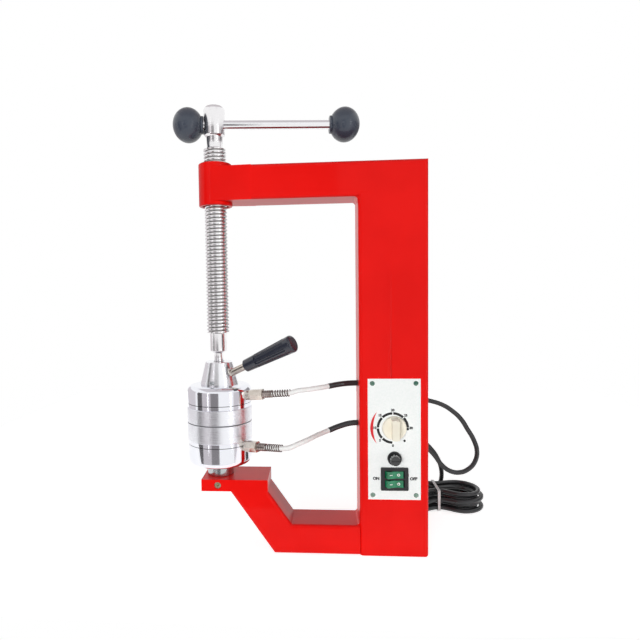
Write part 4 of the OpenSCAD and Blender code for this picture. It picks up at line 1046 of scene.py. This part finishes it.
def ball_knob(name, node_name, outward, collar_face):
    """A knob whose collar starts at a distance along the turned bar from the spindle."""
    centre = KNOB_L - BALL_HALF
    first = math.degrees(math.asin((COLLAR_L - centre) / BALL_HALF))
    profile = [
        (COLLAR_R - 0.5 * MM, 0), (COLLAR_R, 0.5 * MM), (COLLAR_R, COLLAR_L - 0.2 * MM)
    ]
    for step in range(BALL_STEPS + 1):
        angle = math.radians(first + (LAST_ANGLE - first) * step / BALL_STEPS)
        profile.append((BALL_R * math.cos(angle), centre + BALL_HALF * math.sin(angle)))
    knob = turned(name, profile, 64)
    along_bar = Vector((math.cos(BAR_TURN), math.sin(BAR_TURN), 0))
    aimed(knob, Vector((axis_x, 0, bar_z)) + along_bar * collar_face, along_bar * outward)
    smooth(knob, 50)
    handed_over(knob, "t_bar", ball_moulding, "ball_moulding", node_name)


ball_knob("left_ball", "ball_knob_left", -1, LEFT_FACE)
ball_knob("right_ball", "ball_knob_right", 1, RIGHT_FACE)

# %% [markdown]
# ## Head covers
# The covers are deep cups, turned and polished, with a generous round edge, and the plates close
# them. A bevelled cylinder would look the same from outside, but a profile that runs round the
# wall and back inside leaves room for the heater, as a cup does.

# %% Turn the two covers
COVER_WALL, COVER_EDGE, COVER_BORE, COVER_BASE = 3 * MM, 7 * MM, 8.1 * MM, 4 * MM


def cover(name, node_name, body, opens_up):
    """A cup made with its opening up, and turned over where it opens down."""
    low, high = corners(node_name)
    height = high.z - low.z
    inner_r = COVER_R - COVER_WALL
    profile = [(COVER_BORE, COVER_BASE), (inner_r - 3 * MM, COVER_BASE), (inner_r, 8 * MM)]
    profile += [(inner_r, height), (COVER_R - 0.3 * MM, height), (COVER_R, height - 0.3 * MM)]
    profile += arc(COVER_R - COVER_EDGE, COVER_EDGE, COVER_EDGE, 0, -90, 10)
    profile += [(COVER_BORE, 0)]
    made = turned(name, profile, 96)
    if opens_up:
        placed(made, (axis_x, 0, low.z))
    else:
        placed(made, (axis_x, 0, high.z), (math.pi, 0, 0))
    smooth(made, 30)
    handed_over(made, body, polished_cover, "polished_cover", node_name)


cover("lower_cup", "lower_cover", "frame", opens_up=True)
cover("upper_cup", "upper_cover", "upper_head", opens_up=False)

# %% [markdown]
# ## Heater leads
# A white braided lead leaves each head through a nut, a ribbed collar and a small spring, and
# enters the column in a black sleeve. Each could be a straight tube, but in the photograph they
# hang a little and turn to the column, so they run through listed places.

# %% Routes of the leads
LEAD_R, SLEEVE_R = 2.9 * MM, 3.4 * MM
PORT_LENGTH, SPRING_L = 30 * MM, 23.5 * MM


def port(head_z, turn_degrees, slope_degrees, distance):
    """Point on a connector's axis, a distance out from the cover's wall."""
    turn, slope = math.radians(turn_degrees), math.radians(slope_degrees)
    out = COVER_R + distance * math.cos(slope)
    return Vector((
        axis_x + out * math.cos(turn), out * math.sin(turn), head_z + distance * math.sin(slope)
    ))


# Height on the head, bearing and slope of each connector.
lower_port = (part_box("lower_cover")[0][2] + 23.8 * MM, -30, 5.5)
upper_port = (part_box("upper_cover")[0][2] + 14 * MM, -15, 5.5)
lower_places = [
    (-70, -48, 134.4), (-60.5, -44.5, 137.4), (-50, -36, 139.8), (-37.5, -20, 141.8)
]
lower_sleeve_places = [(-24, -8, 144.3), (-10, -2, 148.4), (3, -0.4, 151.4), (18, 0, 152)]
upper_places = [(-60, -25, 195), (-50, -23.5, 196), (-38, -19, 197)]
upper_sleeve_places = [(-24, -12, 198.2), (-10, -5, 199.5), (3, -0.8, 200), (18, 0, 200)]
print("ports at heights", round(lower_port[0], 4), round(upper_port[0], 4))

# %% [markdown]
# A lead is a curve with a round bevel, like the mains cord, and all of them are made meshes. The
# spring is a thinner tube wound round the lead.

# %% Tubes and springs
SPRING_R, SPRING_TURNS, STEPS_PER_TURN, WIRE_R = 3.8 * MM, 7, 14, 0.6 * MM


def in_mm(point):
    return tuple(c / MM for c in point)


def tube(name, places, radius, resolution=8):
    """A cord made a mesh."""
    run = spline(name, places, 2 * radius, resolution, 4)
    only(run)
    bpy.ops.object.convert(target="MESH")
    made = named(name)
    smooth(made, 50)
    return made


def helix(port_place, name):
    """Strain spring wound round the lead, from the collar outwards."""
    start = port(*port_place, PORT_LENGTH)
    end = port(*port_place, PORT_LENGTH + SPRING_L)
    axis = (end - start).normalized()
    side = axis.cross(Vector((0, 0, 1))).normalized()
    over = side.cross(axis)
    steps = SPRING_TURNS * STEPS_PER_TURN
    places = []
    for i in range(steps + 1):
        angle = math.tau * i / STEPS_PER_TURN
        along = WIRE_R * 2 + (SPRING_L - 4 * WIRE_R) * i / steps
        point = start + axis * along
        point += SPRING_R * (math.cos(angle) * over + math.sin(angle) * side)
        places.append(in_mm(point))
    return tube(name, places, WIRE_R, 2)


print("springs:", SPRING_TURNS, "turns of", round(2 * WIRE_R / MM, 2), "mm wire")

# %% [markdown]
# The lower head stands still on the anvil, so its lead, sleeve and spring ride on the frame.
# They could be joined into one piece, but they are three parts with three finishes.

# %% Lower lead, spring and sleeve
lower_start = in_mm(port(*lower_port, PORT_LENGTH))
lower_free = in_mm(port(*lower_port, PORT_LENGTH + SPRING_L))
lower_lead = tube(
    "lower_braid", [lower_start, lower_free] + lower_places + lower_sleeve_places[:2], LEAD_R
)
handed_over(lower_lead, "frame", white_braid, "white_lead", "lower_lead")
lower_sleeve = tube("lower_sleeve", lower_sleeve_places, SLEEVE_R)
handed_over(lower_sleeve, "frame", cable_rubber, "black_cable", "lower_lead_sleeve")
lower_spring = helix(lower_port, "lower_spring")
handed_over(lower_spring, "frame", spring_wire, "bright_steel", "lower_connector_spring")

# %% [markdown]
# The upper lead has to follow the press as it opens and as its head swivels. One stretch could
# be bent by both, but a blend reaches from one body to one other. So the lead is cut in two at
# the swivel's limit: one stretch for the travel, the other for the swivel.

# %% Upper lead in two stretches
SWIVEL_FROM = Vector((axis_x + 104 * MM, 0, 0.197))
COLLAR_END = Vector((axis_x + 68 * MM, 0, 0.19))
COLUMN_FACE = Vector((column_low.x, 0, 0.2))


def bending(piece, material, slot, bodies, start, end, *stands_for):
    """Gives a piece its material, writes its place into its mesh and hides the CAD nodes it
    stands for.
    """
    coated(piece, material)
    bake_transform(piece)
    entered(stands_for)
    print(piece.name, "bends between", *bodies)


def half(piece, name, keep_side):
    """Copy of a tube on one side of the swivel's limit, with its cut end closed."""
    copy = piece.copy()
    copy.data = piece.data.copy()
    bpy.context.scene.collection.objects.link(copy)
    copy.name = copy.data.name = name
    on_whole(
        copy, bpy.ops.mesh.bisect, plane_co=SWIVEL_FROM, plane_no=(keep_side, 0, 0),
        use_fill=True, clear_inner=True,
    )
    return copy


upper_start = in_mm(port(*upper_port, PORT_LENGTH))
upper_free = in_mm(port(*upper_port, PORT_LENGTH + SPRING_L))
upper_route = [upper_start, upper_free] + upper_places + upper_sleeve_places[:2]
upper_lead = tube("upper_braid", upper_route, LEAD_R, 12)
travel_stretch = half(upper_lead, "upper_braid_travel", 1)
swivel_stretch = half(upper_lead, "upper_braid_swivel", -1)
bpy.data.objects.remove(upper_lead)
bending(
    travel_stretch, white_braid, "white_lead", ("frame", "seat"), COLUMN_FACE, SWIVEL_FROM,
    "upper_lead",
)
bending(
    swivel_stretch, white_braid, "white_lead", ("seat", "upper_head"), SWIVEL_FROM, COLLAR_END
)
upper_sleeve = tube("upper_sleeve", upper_sleeve_places, SLEEVE_R)
bending(
    upper_sleeve, cable_rubber, "black_cable", ("frame", "seat"), COLUMN_FACE, SWIVEL_FROM,
    "upper_lead_sleeve",
)
upper_spring = helix(upper_port, "upper_spring")
bending(
    upper_spring, spring_wire, "bright_steel", ("seat", "upper_head"), SWIVEL_FROM, COLLAR_END,
    "upper_connector_spring",
)

# %% [markdown]
# ## Printed dial
# The panel is printed: six strokes and a red crescent round the knob, minutes, two dots, and
# the switch's ON and OFF. A picture on the panel could show them, but thin films of mesh stay
# sharp close by and keep their own finish. Each stroke is a flat grid bent round the knob.

# %% Strokes round the knob
FILM, UPRIGHT = 0.12 * MM, (math.pi / 2, 0, 0)
print_y = panel_y - FILM / 2
dial_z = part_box("timer_body")[0][2] + 21 * MM
DIAL_START, DIAL_STEP, STROKES, STROKE_GAP = 180, 45, 6, 2
STROKE_R, CRESCENT_R = (15.6 * MM, 18.4 * MM), (22.4 * MM, 25.8 * MM)
dial_black = finish("dial black", (0.012, 0.012, 0.013), 0.45)
spread(dial_black, grain(dial_black, 300), 0.38, 0.52)
dial_red = finish("dial red", (0.72, 0.02, 0.03), 0.45)
spread(dial_red, grain(dial_red, 300), 0.38, 0.52)


def ring_stroke(name, radii, first, last, material, slot, tapers=False):
    """Flat stroke on the panel, angles in degrees clockwise from the top."""
    inner_r, outer_r = radii
    steps = max(3, int(abs(last - first) / 4))
    nothing_selected()
    bpy.ops.mesh.primitive_grid_add(x_subdivisions=steps, y_subdivisions=1, size=1)
    stroke = named(name)
    for vertex in stroke.data.vertices:
        share = vertex.co.x + 0.5
        angle = math.radians(first + (last - first) * share)
        width = (outer_r - inner_r) * (math.sin(math.pi * share) if tapers else 1)
        radius = outer_r if vertex.co.y > 0 else outer_r - width
        vertex.co = (radius * math.sin(angle), 0, radius * math.cos(angle))
    modified(stroke, "SOLIDIFY", thickness=FILM, offset=0)
    placed(stroke, (column_x, print_y, dial_z))
    handed_over(stroke, "frame", material, slot)


for count in range(STROKES):
    start_angle = DIAL_START + DIAL_STEP * count
    ring_stroke(
        f"dial_stroke_{count + 1}", STROKE_R, start_angle + STROKE_GAP,
        start_angle + DIAL_STEP - STROKE_GAP, dial_black, "black_moulding",
    )
ring_stroke("dial_crescent", CRESCENT_R, 225, 317, dial_red, "red_enamel", tapers=True)

# %% [markdown]
# Figures and words start as text, which could stay text, but only a mesh has its place written
# into it. The figures are plain minutes, laid round the knob at the ends of the strokes.

# %% Dots, figures and words
MINUTE_R, MINUTE_SIZE, WORD_SIZE, BOLDNESS = 20.7 * MM, 3.8 * MM, 4.6 * MM, 0.06
switch_low, switch_high = corners("switch_housing")
switch_z = (switch_low.z + switch_high.z) / 2


def on_dial(angle_degrees, radius):
    """Place on the dial's face, by its angle clockwise from the top and its radius."""
    angle = math.radians(angle_degrees)
    return (column_x + radius * math.sin(angle), print_y, dial_z + radius * math.cos(angle))


def printed(name, at):
    """Names a flat piece, stands it on the panel and hands it over."""
    made = named(name)
    placed(made, at, UPRIGHT)
    handed_over(made, "frame", dial_black, "black_moulding")


def dot(name, at, size):
    nothing_selected()
    bpy.ops.mesh.primitive_cylinder_add(vertices=20, radius=size, depth=FILM)
    printed(name, at)


def lettering(name, words, at, size):
    nothing_selected()
    bpy.ops.object.text_add()
    made = bpy.context.object
    made.data.body = words
    made.data.align_x = "CENTER"
    made.data.align_y = "CENTER"
    made.data.size = size
    made.data.extrude = FILM / 2
    made.data.offset = BOLDNESS * size
    only(made)
    bpy.ops.object.convert(target="MESH")
    printed(name, at)


for count in range(STROKES + 1):
    minute = str(5 * count)
    at = on_dial(DIAL_START + DIAL_STEP * count, MINUTE_R)
    lettering("dial_minute_" + minute, minute, at, MINUTE_SIZE)
dot("dial_end_dot", on_dial(94, 17 * MM), 1.5 * MM)
dot("dial_off_dot", on_dial(138, 20 * MM), 1.4 * MM)
lettering("switch_on", "ON", (switch_low.x - 5.2 * MM, print_y, switch_z), WORD_SIZE)
lettering("switch_off", "OFF", (switch_high.x + 6.2 * MM, print_y, switch_z), WORD_SIZE)

# %% [markdown]
# Each rocker carries two small white marks: a dash on the side that is pressed for on, and a
# ring on the other. They could be painted by a shader, but as thin pieces they can be laid on
# the rocker's sloping face, found by a ray cast at it, and they turn with it.

# %% Mark the rockers
rocker_white = finish("rocker white", (0.88, 0.90, 0.88), 0.4)
spread(rocker_white, grain(rocker_white, 400), 0.34, 0.5)


def laid_on(made, name, node_name, body, x):
    """Lays a flat mark on the face of a node, straight behind a place on the front."""
    low, high = corners(node_name)
    start = Vector((x, low.y - 0.02, (low.z + high.z) / 2))
    hit, at, normal, _ = nodes[node_name].ray_cast(start, Vector((0, 1, 0)))
    if not hit:
        raise ValueError("no face of " + node_name + " behind the mark")
    aimed(made, at, normal)
    made.name = made.data.name = name
    handed_over(made, body, rocker_white, "white_lead")


for node_name, body in (("rocker_upper", "upper_switch"), ("rocker_lower", "lower_switch")):
    low, high = corners(node_name)
    nothing_selected()
    bpy.ops.mesh.primitive_torus_add(
        major_radius=1.25 * MM, minor_radius=0.4 * MM, major_segments=28, minor_segments=8
    )
    ring = named("ring")
    ring.scale = (1, 1, 0.4)
    laid_on(ring, node_name + "_ring", node_name, body, low.x * 0.3 + high.x * 0.7)
    nothing_selected()
    bpy.ops.mesh.primitive_cube_add(size=1)
    dash = named("dash")
    dash.scale = (3.6 * MM, 0.7 * MM, 0.2 * MM)
    bpy.ops.object.transform_apply(location=False, rotation=False, scale=True)
    modified(dash, "BEVEL", width=0.08 * MM, segments=2)
    laid_on(dash, node_name + "_dash", node_name, body, low.x * 0.7 + high.x * 0.3)
